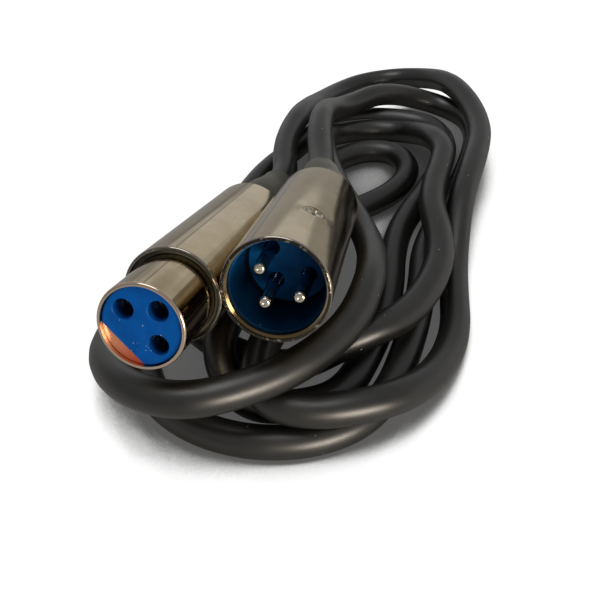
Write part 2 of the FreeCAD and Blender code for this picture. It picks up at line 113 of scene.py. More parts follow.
@dataclass(frozen=True)
class Connector:
    """Where a connector lies, and how its cable leaves it.

    Attributes:
        name: the first word of its nodes' names.
        rim: the middle of its front rim, in millimetres.
        heading: the way its axis runs back, in degrees from +Y.
        droop: how far its axis points down, in degrees.
        length: from its rim to its barrel's rear, in millimetres.
        leave: where the cable leaves its boot, in millimetres.
        leave_heading: the way that the cable runs there, in degrees from +Y.
        leave_droop: how far the cable points down there, in degrees.
        middle: the place of its middle contact round its axis, in degrees.
        cup_rear: where its solder cups end, in millimetres behind the rim.
        flank: where the painted dark reflection on its metal's left side begins, as a share of the radius.
    """

    name: str
    rim: Point
    heading: float
    droop: float
    length: float
    leave: Point
    leave_heading: float
    leave_droop: float
    middle: float
    cup_rear: float
    flank: float

    @property
    def back(self) -> Vector:
        """The way that the axis runs back from the rim."""
        return compass(self.heading, self.droop)

    @property
    def across(self) -> Vector:
        """The level direction to the right of the axis, seen from the front."""
        turn = math.radians(self.heading)
        return Vector((math.cos(turn), -math.sin(turn), 0))

    @property
    def upward(self) -> Vector:
        """The direction square to the axis that points up."""
        return (-self.back).cross(self.across)

    def at(self, right: float, up: float, behind: float) -> Vector:
        """Turns millimetres in the connector's own directions into a place in the part's frame.

        Args:
            right: distance to the right of the axis, seen from the front.
            up: distance above the axis.
            behind: distance behind the rim.

        Returns:
            The place, in millimetres.
        """
        return Vector(self.rim) + self.across * right + self.upward * up + self.back * behind

    def flexed(self, share: float) -> Tuple[Vector, Vector]:
        """Gives a place and a direction on the bend from the barrel's rear to the boot's end.

        The bend is a cubic curve through both ends, whose two handles lie a third of their distance along the
        barrel's axis and along the leaving cable.

        Args:
            share: 0 at the barrel's rear and 1 where the cable leaves.

        Returns:
            The place, in millimetres, and the direction.
        """
        start, end = self.at(0, 0, self.length), Vector(self.leave)
        leave = compass(self.leave_heading, self.leave_droop)
        reach = (end - start).length / 3
        corners = (start, start + self.back * reach, end - leave * reach, end)
        rest = 1 - share
        weights = (rest ** 3, 3 * rest ** 2 * share, 3 * rest * share ** 2, share ** 3)
        place = sum((corner * weight for corner, weight in zip(corners, weights)), Vector())
        slopes = (rest ** 2, 2 * rest * share, share ** 2)
        way = sum(((b - a) * slope for a, b, slope in zip(corners, corners[1:], slopes)), Vector())
        return place, way.normalized()


# The cable's route from the socket to the plug, in millimetres
SOCKET_TURN = [
    (-12, 16.5, 10.4), (-10.6, 27.5, 10.4), (-8.1, 37.5, 10.3), (-5.2, 47, 8.5), (-0.8, 58.5, 5.2),
    (5.5, 70, 3.2), (14.5, 79, 2.7), (26.5, 82.3, 3.1), (36, 75.8, 6), (41.8, 65, 9.7),
    (45.2, 52, 10.7), (46.6, 38, 10.4), (45.6, 26.5, 10.4), (42, 14.5, 10.4), (38, 3.5, 10.2),
    (34.4, -7, 9.2), (32, -17, 6.4), (30.1, -27, 3.2), (28.6, -37.5, 2.7), (27.2, -48.5, 2.7),
    (23.5, -58.5, 3.8), (18.2, -67.3, 6.2), (10.8, -74.5, 9.2), (1.8, -78, 10.2), (-6.5, -78.7, 10.2),
    (-13.5, -76.5, 10.2), (-16.3, -70.5, 10.5), (-15, -61.5, 10.9), (-11, -52.5, 9.9), (-6, -43.5, 5.9),
    (-3.5, -32.5, 2.7), (-2.5, -20.5, 2.7), (0, -9.5, 2.7)]
BIGHT = [
    (7, -2.2, 2.7), (15.3, 3.8, 2.7), (21.6, 11, 2.7), (24.9, 20.5, 2.7), (21.5, 29.3, 2.7),
    (13, 31, 2.7), (4.5, 26, 2.7), (-2.2, 19.2, 2.7), (-6.6, 11, 2.7), (-8.8, 0, 2.7),
    (-10, -12.5, 2.7), (-10.8, -22.5, 2.7)]
INNER_TURN = [
    (-14.5, -32.5, 2.7), (-19, -43.5, 6.1), (-22.8, -53.8, 10.75), (-24.5, -63, 8.5), (-19, -71, 3),
    (-8, -71.5, 2.7), (1.5, -67.7, 2.7), (7, -56.5, 2.7), (11.4, -45, 2.7), (14.2, -33, 2.7),
    (15.6, -22, 2.7), (18, -12.5, 2.7), (21.8, -3.8, 2.7), (26.5, 4.7, 2.7), (31, 13.8, 2.7),
    (34.8, 22.8, 2.7), (37.4, 32, 2.7), (37.1, 41.3, 2.7), (33, 48.2, 2.7), (25.5, 51.2, 2.7),
    (16.5, 52.3, 2.7), (7.8, 51.4, 2.7), (0.5, 46, 2.7), (-5.3, 38, 2.7), (-11, 28.5, 2.7),
    (-17.5, 18.5, 2.7), (-22.5, 5.5, 2.7), (-28, -7.5, 2.7)]
OUTER_TURN = [
    (-34, -20, 2.7), (-41, -32.5, 2.7), (-45.6, -44, 4.2), (-47.7, -55.5, 6.9), (-46, -66.5, 10.8),
    (-39.5, -77, 14.8), (-28.5, -82.6, 17), (-16.5, -79.5, 17.5), (-6, -72.8, 17.5), (2.5, -63, 17.8),
    (7, -50.5, 17.8), (8.7, -38.5, 15), (8.5, -26.5, 11.5), (6, -14.5, 10.2), (2.5, -2.5, 10.3),
    (0.3, 9, 10.4), (-0.9, 20, 10.5), (0, 28.5, 9.2), (3.2, 36.5, 5), (9, 42, 3.3), (17.5, 44.3, 2.7),
    (25, 41.8, 3.2), (29.3, 34.5, 6.4), (31.8, 26.5, 9.6)]
PLUG_TURN = [
    (33.6, 17.5, 10.6), (31.2, 8.5, 10.5), (28, -1, 10.4), (25.8, -11.5, 10.5), (26.2, -22.5, 10.5),
    (25, -33.5, 10.3), (20.6, -44.3, 10.3), (14.2, -53.7, 10.4), (3.6, -60, 11), (-8.2, -62, 4.1),
    (-17, -58.5, 2.7), (-26, -53.3, 2.7), (-32, -46.8, 2.7), (-38.5, -47.5, 2.7), (-41, -55, 2.7),
    (-39.5, -63.5, 2.7), (-34.8, -71.2, 2.7), (-26.5, -77.2, 2.7), (-16, -80.2, 2.7), (-5, -79.6, 2.7),
    (4.8, -75, 2.7), (11.3, -66.3, 2.7), (15.8, -54.5, 2.7), (19.3, -43.5, 2.7), (21.7, -32.5, 2.7),
    (23.5, -21.5, 2.7), (27.5, -10.7, 2.7), (32.4, -0.4, 2.7), (37.5, 10, 2.7), (41.8, 20.3, 2.7),
    (45.4, 30.8, 2.7), (48, 41.5, 2.7), (47.2, 52.5, 2.7), (41, 60.5, 2.7), (33, 62, 4.6),
    (24.5, 58.8, 7.9), (16.5, 52.8, 10.5), (9.8, 46, 10.8), (4, 39.3, 12.2), (0.4, 32, 15.5),
    (-1.3, 23.5, 17.7), (-2.2, 13, 18.1)]


def linear(code: str) -> tuple:
    """Turns an sRGB hex code into the linear colour that a shader takes.

    Args:
        code: the colour, such as "a5967d".

    Returns:
        Red, green, blue and an alpha of 1.
    """
    channels = [int(code[i:i + 2], 16) / 255 for i in (0, 2, 4)]
    return (*(c / 12.92 if c <= 0.04045 else ((c + 0.055) / 1.055) ** 2.4 for c in channels), 1.0)


# Materials

class Kind(Enum):
    """The kinds of node: a type, the inputs fed in order, the output that is read and its own settings."""

    ADD = ("ShaderNodeMath", (0, 1), 0, {"operation": "ADD"})
    SUBTRACT = ("ShaderNodeMath", (0, 1), 0, {"operation": "SUBTRACT"})
    MULTIPLY = ("ShaderNodeMath", (0, 1), 0, {"operation": "MULTIPLY"})
    DIVIDE = ("ShaderNodeMath", (0, 1), 0, {"operation": "DIVIDE"})
    MULTIPLY_ADD = ("ShaderNodeMath", (0, 1, 2), 0, {"operation": "MULTIPLY_ADD"})
    MAXIMUM = ("ShaderNodeMath", (0, 1), 0, {"operation": "MAXIMUM"})
    ABSOLUTE = ("ShaderNodeMath", (0,), 0, {"operation": "ABSOLUTE"})
    SQRT = ("ShaderNodeMath", (0,), 0, {"operation": "SQRT"})
    LESS_THAN = ("ShaderNodeMath", (0, 1), 0, {"operation": "LESS_THAN"})
    APART = ("ShaderNodeVectorMath", (0, 1), "Vector", {"operation": "SUBTRACT"})
    STRETCH = ("ShaderNodeVectorMath", (0, 1), "Vector", {"operation": "MULTIPLY"})
    SCALE = ("ShaderNodeVectorMath", (0, "Scale"), "Vector", {"operation": "SCALE"})
    DOT = ("ShaderNodeVectorMath", (0, 1), "Value", {"operation": "DOT_PRODUCT"})
    DISTANCE = ("ShaderNodeVectorMath", (0, 1), "Value", {"operation": "DISTANCE"})
    COMBINE = ("ShaderNodeCombineXYZ", (0, 1, 2), 0, {})
    SPREAD = ("ShaderNodeMapRange", (0, 1, 2, 3, 4), 0, {"interpolation_type": "SMOOTHSTEP"})
    RAMP = ("ShaderNodeMapRange", (0, 1, 2, 3, 4), 0, {"interpolation_type": "LINEAR"})
    MIX = ("ShaderNodeMix", (0, 6, 7), 2, {"data_type": "RGBA"})
    BLEND = ("ShaderNodeMix", (0, 2, 3), 0, {"data_type": "FLOAT"})
    NOISE = ("ShaderNodeTexNoise", ("Vector", "Scale", "Detail", "Roughness"), "Fac", {})
    CELLS = ("ShaderNodeTexVoronoi", ("Vector", "Scale"), "Distance", {})
    CHANNELS = ("ShaderNodeSeparateColor", (0,), 0, {})
    HEIGHT = ("ShaderNodeSeparateXYZ", (0,), "Z", {})
    BUMP = ("ShaderNodeBump", ("Height", "Distance", "Normal"), 0, {})
    OBJECT = ("ShaderNodeTexCoord", (), "Object", {})
    DIRECTION = ("ShaderNodeTexCoord", (), "Generated", {})
    RAY = ("ShaderNodeLightPath", (), 0, {})
    OPENNESS = ("ShaderNodeAmbientOcclusion", ("Distance",), "AO", {"samples": 16})
    EMISSION = ("ShaderNodeEmission", ("Strength",), 0, {})
    MIX_SHADER = ("ShaderNodeMixShader", (0, 1, 2), 0, {})


class Graph:
    """A node tree, built one node at a time."""

    def __init__(self, tree: bpy.types.NodeTree) -> None:
        """Takes the tree to build in."""
        self.tree = tree

    def feed(self, socket: Output, value: object) -> None:
        """Links an output to an input, or sets the input to a plain value or to the colour of a hex code."""
        if isinstance(value, Output):
            self.tree.links.new(value, socket)
        elif isinstance(value, str):
            socket.default_value = linear(value)
        else:
            socket.default_value = value

    def add(self, kind: Kind, *values: object, **settings: object) -> Output:
        """Adds a node with its settings and links.

        Args:
            kind: the kind of node.
            values: what its inputs are fed with, in the kind's order. A missing one keeps its own value.
            settings: its other properties.

        Returns:
            The output that the kind reads.
        """
        type_name, inputs, output, own = kind.value
        made = self.tree.nodes.new(type_name)
        for name, value in {**own, **settings}.items():
            setattr(made, name, value)
        for key, value in zip(inputs, values):
            self.feed(made.inputs[key], value)
        return made.outputs[output]


class Surface(Graph):
    """A material's node tree, whose patterns are worked out in millimetres on the piece itself."""

    def __init__(self, name: str) -> None:
        """Makes the material."""
        self.material = bpy.data.materials.new(name)
        self.material.use_nodes = True
        super().__init__(self.material.node_tree)
        self.shader = self.tree.nodes["Principled BSDF"]
        self.output = self.tree.nodes["Material Output"]

    def millimetres(self) -> Output:
        """Gives the point's place in the object's own frame, in millimetres."""
        return self.add(Kind.SCALE, self.add(Kind.OBJECT), 1 / MM)

    def local(self, connector: Connector) -> Tuple[Output, Output, Output, Output]:
        """Works out where the point lies in a connector's own directions.

        Args:
            connector: the connector.

        Returns:
            The distances right of its axis, above it, behind the rim and from the axis, in millimetres.
        """
        offset = self.add(Kind.APART, self.millimetres(), tuple(connector.rim))
        right = self.add(Kind.DOT, offset, tuple(connector.across))
        up = self.add(Kind.DOT, offset, tuple(connector.upward))
        behind = self.add(Kind.DOT, offset, tuple(connector.back))
        squares = self.add(Kind.ADD, self.add(Kind.MULTIPLY, right, right), self.add(Kind.MULTIPLY, up, up))
        return right, up, behind, self.add(Kind.SQRT, squares)

    def dust(self, vector: Output, spacing: float, size: float, share: float,
             crowd: Optional[Output] = None) -> Output:
        """Scatters specks and gives 1 on them.

        Args:
            vector: the place, in millimetres.
            spacing: how far apart specks could be, in millimetres.
            size: how wide a speck is, in millimetres.
            share: the share of the possible specks that are there.
            crowd: a value from 0 to 1 that adds more specks where it is high.

        Returns:
            The specks' strength.
        """
        wander = self.add(Kind.NOISE, vector, 1 / (size * 1.6), 1.0)
        cells = self.add(Kind.CELLS, vector, 1 / spacing).node.outputs
        draws = self.add(Kind.CHANNELS, cells["Color"]).node.outputs
        distance, chance, breadth = cells["Distance"], draws[0], draws[1]
        limit = self.add(Kind.MULTIPLY_ADD, crowd, 0.6, share) if crowd is not None else share
        there = self.add(Kind.LESS_THAN, chance, limit)
        widest = self.add(Kind.MULTIPLY, self.add(Kind.MULTIPLY_ADD, breadth, 0.8, 0.35), size / spacing / 2)
        edge = self.add(Kind.MULTIPLY, widest, self.add(Kind.MULTIPLY_ADD, wander, 1.6, 0.2))
        inside = self.add(Kind.SUBTRACT, 1.0, self.add(Kind.DIVIDE, distance, edge), use_clamp=True)
        return self.add(Kind.MULTIPLY, there, self.add(Kind.MULTIPLY, inside, 2.5, use_clamp=True))

    def finish(self, colour: Colour, roughness: Value, normal: Output, metallic: float = 0.0,
               specular: float = 0.5, sheen: float = 0.0) -> bpy.types.Material:
        """Sets the shader's inputs and gives the material.

        Args:
            colour: the colour's output.
            roughness: the roughness's output or value.
            normal: the last bump's output.
            metallic: 1 for a metal.
            specular: how strong the gloss of a surface that isn't metal is.
            sheen: how strong its soft edge sheen is.

        Returns:
            The material.
        """
        inputs = self.shader.inputs
        self.feed(inputs["Base Color"], colour)
        self.feed(inputs["Roughness"], roughness)
        self.feed(inputs["Normal"], normal)
        inputs["Metallic"].default_value = metallic
        inputs["Specular IOR Level"].default_value = specular
        inputs["Sheen Weight"].default_value = sheen
        return self.material


@dataclass(frozen=True)
class MetalFinish:
    """A metal surface.

    Attributes:
        clean: its colour where it is cleanest.
        dull: its colour in the duller patches.
        worn: its colour along scratches.
        smooth: its least roughness.
        rough: its greatest roughness.
        grain: how deep its fine grain is, in millimetres.
        grain_size: how wide the grain is, in millimetres.
        patch: how wide its duller patches are, in millimetres.
        scratched: how strong its fine scratches are, from 0 to 1.
        dusty: the share of its dust specks that are there.
    """

    clean: str
    dull: str
    worn: str
    smooth: float = 0.2
    rough: float = 0.35
    grain: float = 0.004
    grain_size: float = 0.12
    patch: float = 7.0
    scratched: float = 0.5
    dusty: float = 0.05


@dataclass(frozen=True)
class SoftFinish:
    """A plastic or rubber surface.

    Attributes:
        main: its main colour.
        other: its colour in the patches that differ.
        rubbed_and_highlight: its colour where it is worn pale by rubbing, if it is.
        smooth: its least roughness.
        rough: its greatest roughness.
        grain: how deep its fine grain is, in millimetres.
        grain_size: how wide the grain is, in millimetres.
        patch: how wide its patches are, in millimetres.
        specular: how strong its gloss is.
        sheen: how strong its soft edge sheen is.
        dusty: the share of its dust specks that are there.
    """

    main: str
    other: str
    rubbed_and_highlight: str = ""
    smooth: float = 0.4
    rough: float = 0.6
    grain: float = 0.01
    grain_size: float = 0.2
    patch: float = 5.0
    specular: float = 0.5
    sheen: float = 0.0
    dusty: float = 0.05


# Brass, turned and plated with nickel: warm and bright, almost a mirror, broken by fine scratches and dust.
# On the barrels a painted dark reflection is laid over its left side.
NICKEL = MetalFinish(
    clean="bcad90", dull="ae9d7e", worn="dad0bb", smooth=0.09, rough=0.13, grain=0.0008,
    grain_size=0.13, patch=9.0, scratched=0.4, dusty=0.08)
# A thin copper plate, brushed: satin, redder below and paler above.
COPPER = SoftFinish(
    main="dc9a78", other="c4583f", rubbed_and_highlight="e8b79a", smooth=0.28, rough=0.4, grain=0.002,
    grain_size=0.15, patch=2.5, specular=0.6, dusty=0.03)
# Turned contacts with a pale satin plating: soft highlights and hardly any marks.
PLATING = MetalFinish(
    clean="e6e0d2", dull="cbc3b2", worn="f6f2ea", smooth=0.14, rough=0.22, grain=0.001,
    grain_size=0.1, patch=1.2, scratched=0.3, dusty=0.0)
# Zinc plated steel screws and springs: greyer than the barrels and a little cloudy.
STEEL = MetalFinish(
    clean="c4baa8", dull="a79c88", worn="e6dfd2", smooth=0.12, rough=0.22, grain=0.001,
    grain_size=0.1, patch=2.5, scratched=0.4, dusty=0.03)
# Blue ABS, moulded: a deep even blue with a soft gloss, for the socket's face.
BLUE = SoftFinish(
    main="0050a0", other="004793", smooth=0.36, rough=0.5, grain=0.004,
    grain_size=0.14, patch=3.0, specular=0.12, dusty=0.03)
# The same blue ABS inside the plug's cup, where it is duller and has no bright highlight.
DEEP_BLUE = SoftFinish(
    main="005794", other="004b80", smooth=0.4, rough=0.5, grain=0.004,
    grain_size=0.14, patch=4.0, specular=0.12, dusty=0.05)
# Soft PVC, moulded, for the boots: a warm dark grey with a soft wide sheen and pale dust.
RUBBER = SoftFinish(
    main="5d5b50", other="525146", rubbed_and_highlight="7c7b70", smooth=0.5, rough=0.68, grain=0.01,
    grain_size=0.22, patch=6.0, specular=0.4, sheen=0.12, dusty=0.05)
# Flexible PVC, extruded over the cable: nearly black, with a satin gloss and scattered dust.
JACKET = SoftFinish(
    main="0b0b09", other="12110e", rubbed_and_highlight="2a2825", smooth=0.34, rough=0.45, grain=0.005,
    grain_size=0.25, patch=9.0, specular=0.95, dusty=0.14)
# Black nylon, moulded: a plain dark satin.
PLASTIC = SoftFinish(
    main="191918", other="222220", rubbed_and_highlight="4a4a46", smooth=0.42, rough=0.58, grain=0.01,
    grain_size=0.18, patch=4.0, specular=0.4, dusty=0.03)
# White PVC, extruded over a core: an even white with a soft gloss.
WHITE_WIRE = SoftFinish(
    main="e4e2dc", other="d6d3c8", rubbed_and_highlight="f4f3ee", smooth=0.35, rough=0.48, grain=0.006,
    grain_size=0.15, patch=3.0)
# Red PVC, extruded over a core: an even deep red with a soft gloss.
RED_WIRE = SoftFinish(
    main="a3201c", other="8d1a18", rubbed_and_highlight="cc5a50", smooth=0.35, rough=0.48, grain=0.006,
    grain_size=0.15, patch=3.0)

# The colours laid over the finishes: dust, painted shade and reflections, and a darkened rim flat
METAL_DUST = "ece8df"
SOFT_DUST = "e2ded6"
BLUE_DUST = "dcd8d0"
CUP_REFLECTION = "2c5a86"
PAINTED_DARK_REFLECTION = "4d3b27"
RIM_FLAT_DARK = "2e2a24"
HOLE_SHADE = "000c20"
CUP_SHADE = "004478"
WALL_SHADE = "000d1c"
FLOOR_EDGE_SHADE = "00060f"
BRAID_DARK = "8a4a28"
BRAID_BRIGHT = "d99a68"


def front_marks_and_painted_light(graph: Surface, colour: Output, connector: Connector, rim: tuple, bright: str) -> Output:
    """Lays the marks of a barrel's front over its colour.

    The painted dark reflection lies in dark streaks along the upper left side, where a share of the radius
    passes the flank. The edge is the rim's outer corner in its own colour, which on the nose is a pale painted
    highlight, and the flat inside it is darkened in chipped patches.

    Args:
        graph: the metal's node tree.
        colour: the colour so far.
        connector: the connector that it belongs to.
        rim: the radius of the front rim, its place behind the front and how far its flat is darkened.
        bright: the colour of the rim's outer edge.

    Returns:
        The colour.
    """
    place = graph.millimetres()
    right, up, behind, radius = graph.local(connector)
    outer_radius, front_place, darkening = rim
    # Painted dark reflection: dark streaks along the upper left side, where a share of the radius passes the
    # flank
    past = graph.add(Kind.SUBTRACT, connector.flank, graph.add(Kind.DIVIDE, right, radius))
    wide = graph.add(Kind.SPREAD, graph.add(Kind.ABSOLUTE, graph.add(Kind.SUBTRACT, past, 0.22)), 0.07, 0.02)
    thin = graph.add(Kind.SPREAD, graph.add(Kind.ABSOLUTE, graph.add(Kind.SUBTRACT, past, 0.06)), 0.04, 0.01)
    broad = graph.add(Kind.SPREAD, past, 0.0, 0.15, 0.0, 0.5)
    streaks = graph.add(Kind.MAXIMUM, broad, graph.add(Kind.MAXIMUM, wide, thin))
    painted_reflection = graph.add(Kind.MULTIPLY, streaks, graph.add(Kind.SPREAD, up, 0.0, 2.0, 0.0, 0.62))
    colour = graph.add(Kind.MIX, painted_reflection, colour, PAINTED_DARK_REFLECTION)
    # The rim's outer edge takes its own colour; on the nose this is a pale painted highlight
    edge = graph.add(Kind.MULTIPLY, graph.add(Kind.SPREAD, behind, front_place + 0.7, front_place + 0.3),
                     graph.add(Kind.SPREAD, behind, front_place - 0.7, front_place - 0.4))
    colour = graph.add(Kind.MIX, graph.add(Kind.MULTIPLY, edge, 0.85), colour, bright)
    # The flat inside the rim is darkened in chipped patches
    inner = graph.add(Kind.SPREAD, radius, outer_radius - 0.85, outer_radius - 0.75)
    outer = graph.add(Kind.SPREAD, radius, outer_radius - 0.12, outer_radius - 0.24)
    front = graph.add(Kind.SPREAD, behind, front_place + 0.3, front_place + 0.05)
    chipped = graph.add(Kind.SPREAD, graph.add(Kind.NOISE, place, 1 / 0.8, 2.0), 0.7, 0.55)
    flat = graph.add(Kind.MULTIPLY, graph.add(Kind.MULTIPLY, inner, outer),
                     graph.add(Kind.MULTIPLY, front, chipped))
    return graph.add(Kind.MIX, graph.add(Kind.MULTIPLY, flat, darkening), colour, RIM_FLAT_DARK)


def metal(name: str, finish: MetalFinish, connector: Connector, rim: tuple = (), inside: float = 0.0,
          bright: str = "aba49a") -> bpy.types.Material:
    """Makes a metal with grain, turned rings, duller patches, fine scratches, dust and, on a barrel, painted
    light.

    Args:
        name: the material's name.
        finish: its colours and measures.
        connector: the connector whose axis the turning and the scratches follow.
        rim: the radius of a front rim, its place behind the front and how far its flat is darkened, or
            nothing.
        inside: how far behind the front the piece goes dark in its shade, or 0.
        bright: the colour of the rim's outer edge.

    Returns:
        The material.
    """
    graph = Surface(name)
    place = graph.millimetres()
    right, up, behind, radius = graph.local(connector)
    patches = graph.add(Kind.NOISE, place, 1 / finish.patch, 3.0, 0.6)
    grain = graph.add(Kind.NOISE, place, 1 / finish.grain_size, 2.0, 0.6)
    # The lathe leaves rings about 0.35 mm apart, drawn coarser than the real ones so that they show
    rings = graph.add(Kind.COMBINE, graph.add(Kind.MULTIPLY, radius, 2.0), behind, 0.0)
    turned = graph.add(Kind.NOISE, rings, 1 / 0.35, 3.0, 0.7)
    # Handling leaves scratches along the axis, under half a millimetre wide and several long
    along = graph.add(Kind.COMBINE, graph.add(Kind.MULTIPLY, right, 3.0), graph.add(Kind.MULTIPLY, up, 3.0),
                      graph.add(Kind.MULTIPLY, behind, 0.16))
    lines = graph.add(Kind.NOISE, along, 1 / 1.1, 2.0, 0.5)
    scratches = graph.add(Kind.SPREAD, lines, 0.66, 0.72, 0.0, finish.scratched)
    # Dust lies in specks of up to 0.32 mm, and thicker in patches 6 mm wide
    crowd = graph.add(Kind.SPREAD, graph.add(Kind.NOISE, place, 1 / 6.0, 1.0), 0.55, 0.8, 0.0, 0.25)
    specks = graph.dust(place, 1.5, 0.32, finish.dusty, crowd)
    colour = graph.add(Kind.MIX, graph.add(Kind.SPREAD, patches, 0.35, 0.7), finish.clean, finish.dull)
    colour = graph.add(Kind.MIX, scratches, colour, finish.worn)
    colour = graph.add(Kind.MIX, graph.add(Kind.MULTIPLY, specks, 0.8), colour, METAL_DUST)
    wave = graph.add(Kind.ADD, graph.add(Kind.MULTIPLY, patches, 0.5), graph.add(Kind.MULTIPLY, grain, 0.5))
    roughness = graph.add(Kind.SPREAD, wave, 0.3, 0.75, finish.smooth, finish.rough)
    roughness = graph.add(Kind.MULTIPLY_ADD, specks, 0.4, roughness, use_clamp=True)
    if inside:
        colour = graph.add(Kind.MIX, graph.add(Kind.SPREAD, behind, inside, inside + 2.0, 0.0, 0.7), colour,
                           CUP_REFLECTION)
    if rim:
        colour = front_marks_and_painted_light(graph, colour, connector, rim, bright)
    normal = graph.add(Kind.BUMP, grain, finish.grain * MM)
    normal = graph.add(Kind.BUMP, turned, finish.grain * 0.6 * MM, normal)
    normal = graph.add(Kind.BUMP, scratches, -0.004 * MM, normal)
    normal = graph.add(Kind.BUMP, specks, 0.05 * MM, normal)
    return graph.finish(colour, roughness, normal, metallic=1.0)


def moulded(name: str, finish: SoftFinish) -> bpy.types.Material:
    """Makes a moulded plastic or rubber with grain, patches, rubbed spots and dust.

    Args:
        name: the material's name.
        finish: its colours and measures.

    Returns:
        The material.
    """
    graph = Surface(name)
    place = graph.millimetres()
    patches = graph.add(Kind.NOISE, place, 1 / finish.patch, 3.0, 0.55)
    grain = graph.add(Kind.NOISE, place, 1 / finish.grain_size, 2.0, 0.6)
    # Spots rubbed pale, a third of a patch wide
    spots = graph.add(Kind.NOISE, place, 1 / (finish.patch * 0.35), 4.0, 0.7)
    rubbing = graph.add(Kind.SPREAD, spots, 0.64, 0.8, 0.0, 0.35)
    # Dust lies in specks of up to 0.3 mm, and thicker in patches 7 mm wide
    crowd = graph.add(Kind.SPREAD, graph.add(Kind.NOISE, place, 1 / 7.0, 1.0), 0.55, 0.8, 0.0, 0.25)
    specks = graph.dust(place, 1.6, 0.3, finish.dusty, crowd)
    colour = graph.add(Kind.MIX, graph.add(Kind.SPREAD, patches, 0.35, 0.65), finish.main, finish.other)
    colour = graph.add(Kind.MIX, rubbing, colour, finish.rubbed_and_highlight)
    colour = graph.add(Kind.MIX, graph.add(Kind.MULTIPLY, specks, 0.75), colour, SOFT_DUST)
    wave = graph.add(Kind.ADD, graph.add(Kind.MULTIPLY, patches, 0.6), graph.add(Kind.MULTIPLY, grain, 0.4))
    roughness = graph.add(Kind.SPREAD, wave, 0.3, 0.7, finish.smooth, finish.rough)
    roughness = graph.add(Kind.MULTIPLY_ADD, rubbing, 0.3, roughness, use_clamp=True)
    normal = graph.add(Kind.BUMP, grain, finish.grain * MM)
    waves = graph.add(Kind.NOISE, place, 1 / (finish.patch * 0.4), 2.0)
    normal = graph.add(Kind.BUMP, waves, finish.grain * 2.0 * MM, normal)
    normal = graph.add(Kind.BUMP, specks, 0.05 * MM, normal)
    return graph.finish(colour, roughness, normal, specular=finish.specular, sheen=finish.sheen)


def face_plastic(name: str, finish: SoftFinish) -> bpy.types.Material:
    """Makes the socket's moulded blue, with painted shade deeper inside its holes, and dusty low on its face.

    Args:
        name: the material's name.
        finish: its colours and measures.

    Returns:
        The material.
    """
    graph = Surface(name)
    place = graph.millimetres()
    _, up, behind, radius = graph.local(SOCKET)
    patches = graph.add(Kind.NOISE, place, 1 / finish.patch, 2.0)
    grain = graph.add(Kind.NOISE, place, 1 / finish.grain_size, 2.0, 0.6)
    # Fine dust lies low on the face, in specks of up to 0.22 mm
    crowd = graph.add(Kind.MULTIPLY, graph.add(Kind.SPREAD, up, 1.0, -4.0),
                      graph.add(Kind.SPREAD, radius, 6.5, 3.0, 0.0, 0.9))
    specks = graph.dust(place, 0.5, 0.22, finish.dusty, crowd)
    colour = graph.add(Kind.MIX, graph.add(Kind.SPREAD, patches, 0.35, 0.65), finish.main, finish.other)
    colour = graph.add(Kind.MIX, graph.add(Kind.SPREAD, behind, 0.9, 2.6, 0.0, 0.9), colour, HOLE_SHADE)
    colour = graph.add(Kind.MIX, graph.add(Kind.MULTIPLY, specks, 0.8), colour, BLUE_DUST)
    normal = graph.add(Kind.BUMP, grain, finish.grain * MM)
    normal = graph.add(Kind.BUMP, specks, 0.05 * MM, normal)
    roughness = graph.add(Kind.SPREAD, grain, 0.3, 0.7, finish.smooth, finish.rough)
    return graph.finish(colour, roughness, normal, specular=finish.specular)


def cup_plastic(name: str, finish: SoftFinish) -> bpy.types.Material:
    """Makes the plug's moulded blue, with painted shade round the edge of the cup's floor, deep in the cup and
    on its wall.

    Args:
        name: the material's name.
        finish: its colours and measures.

    Returns:
        The material.
    """
    graph = Surface(name)
    place = graph.millimetres()
    _, up, behind, radius = graph.local(PLUG)
    patches = graph.add(Kind.NOISE, place, 1 / finish.patch, 2.0)
    grain = graph.add(Kind.NOISE, place, 1 / finish.grain_size, 2.0, 0.6)
    specks = graph.dust(place, 1.6, 0.28, finish.dusty)
    # Painted shade runs round the edge of the cup's floor, where a small groove is also sunk, and deepens into
    # the cup. The wall is painted darkest where it is turned away from the light.
    floor_edge = graph.add(Kind.MULTIPLY, graph.add(Kind.SPREAD, radius, 7.55, 7.75),
                     graph.add(Kind.SPREAD, behind, 13.4, 13.9))
    deep = graph.add(Kind.SPREAD, behind, 4.0, 15.0, 0.0, 0.45)
    colour = graph.add(Kind.MIX, graph.add(Kind.SPREAD, patches, 0.35, 0.65), finish.main, finish.other)
    wall = graph.add(Kind.MULTIPLY, graph.add(Kind.SPREAD, radius, 7.5, 7.85),
                     graph.add(Kind.SPREAD, up, 5.5, -1.0, 0.0, 0.85))
    colour = graph.add(Kind.MIX, deep, colour, CUP_SHADE)
    colour = graph.add(Kind.MIX, wall, colour, WALL_SHADE)
    colour = graph.add(Kind.MIX, graph.add(Kind.MULTIPLY, floor_edge, 0.85), colour, FLOOR_EDGE_SHADE)
    colour = graph.add(Kind.MIX, graph.add(Kind.MULTIPLY, specks, 0.6), colour, BLUE_DUST)
    normal = graph.add(Kind.BUMP, grain, finish.grain * MM)
    normal = graph.add(Kind.BUMP, floor_edge, -0.2 * MM, normal)
    roughness = graph.add(Kind.SPREAD, grain, 0.3, 0.7, finish.smooth, finish.rough)
    return graph.finish(colour, roughness, normal, specular=finish.specular)


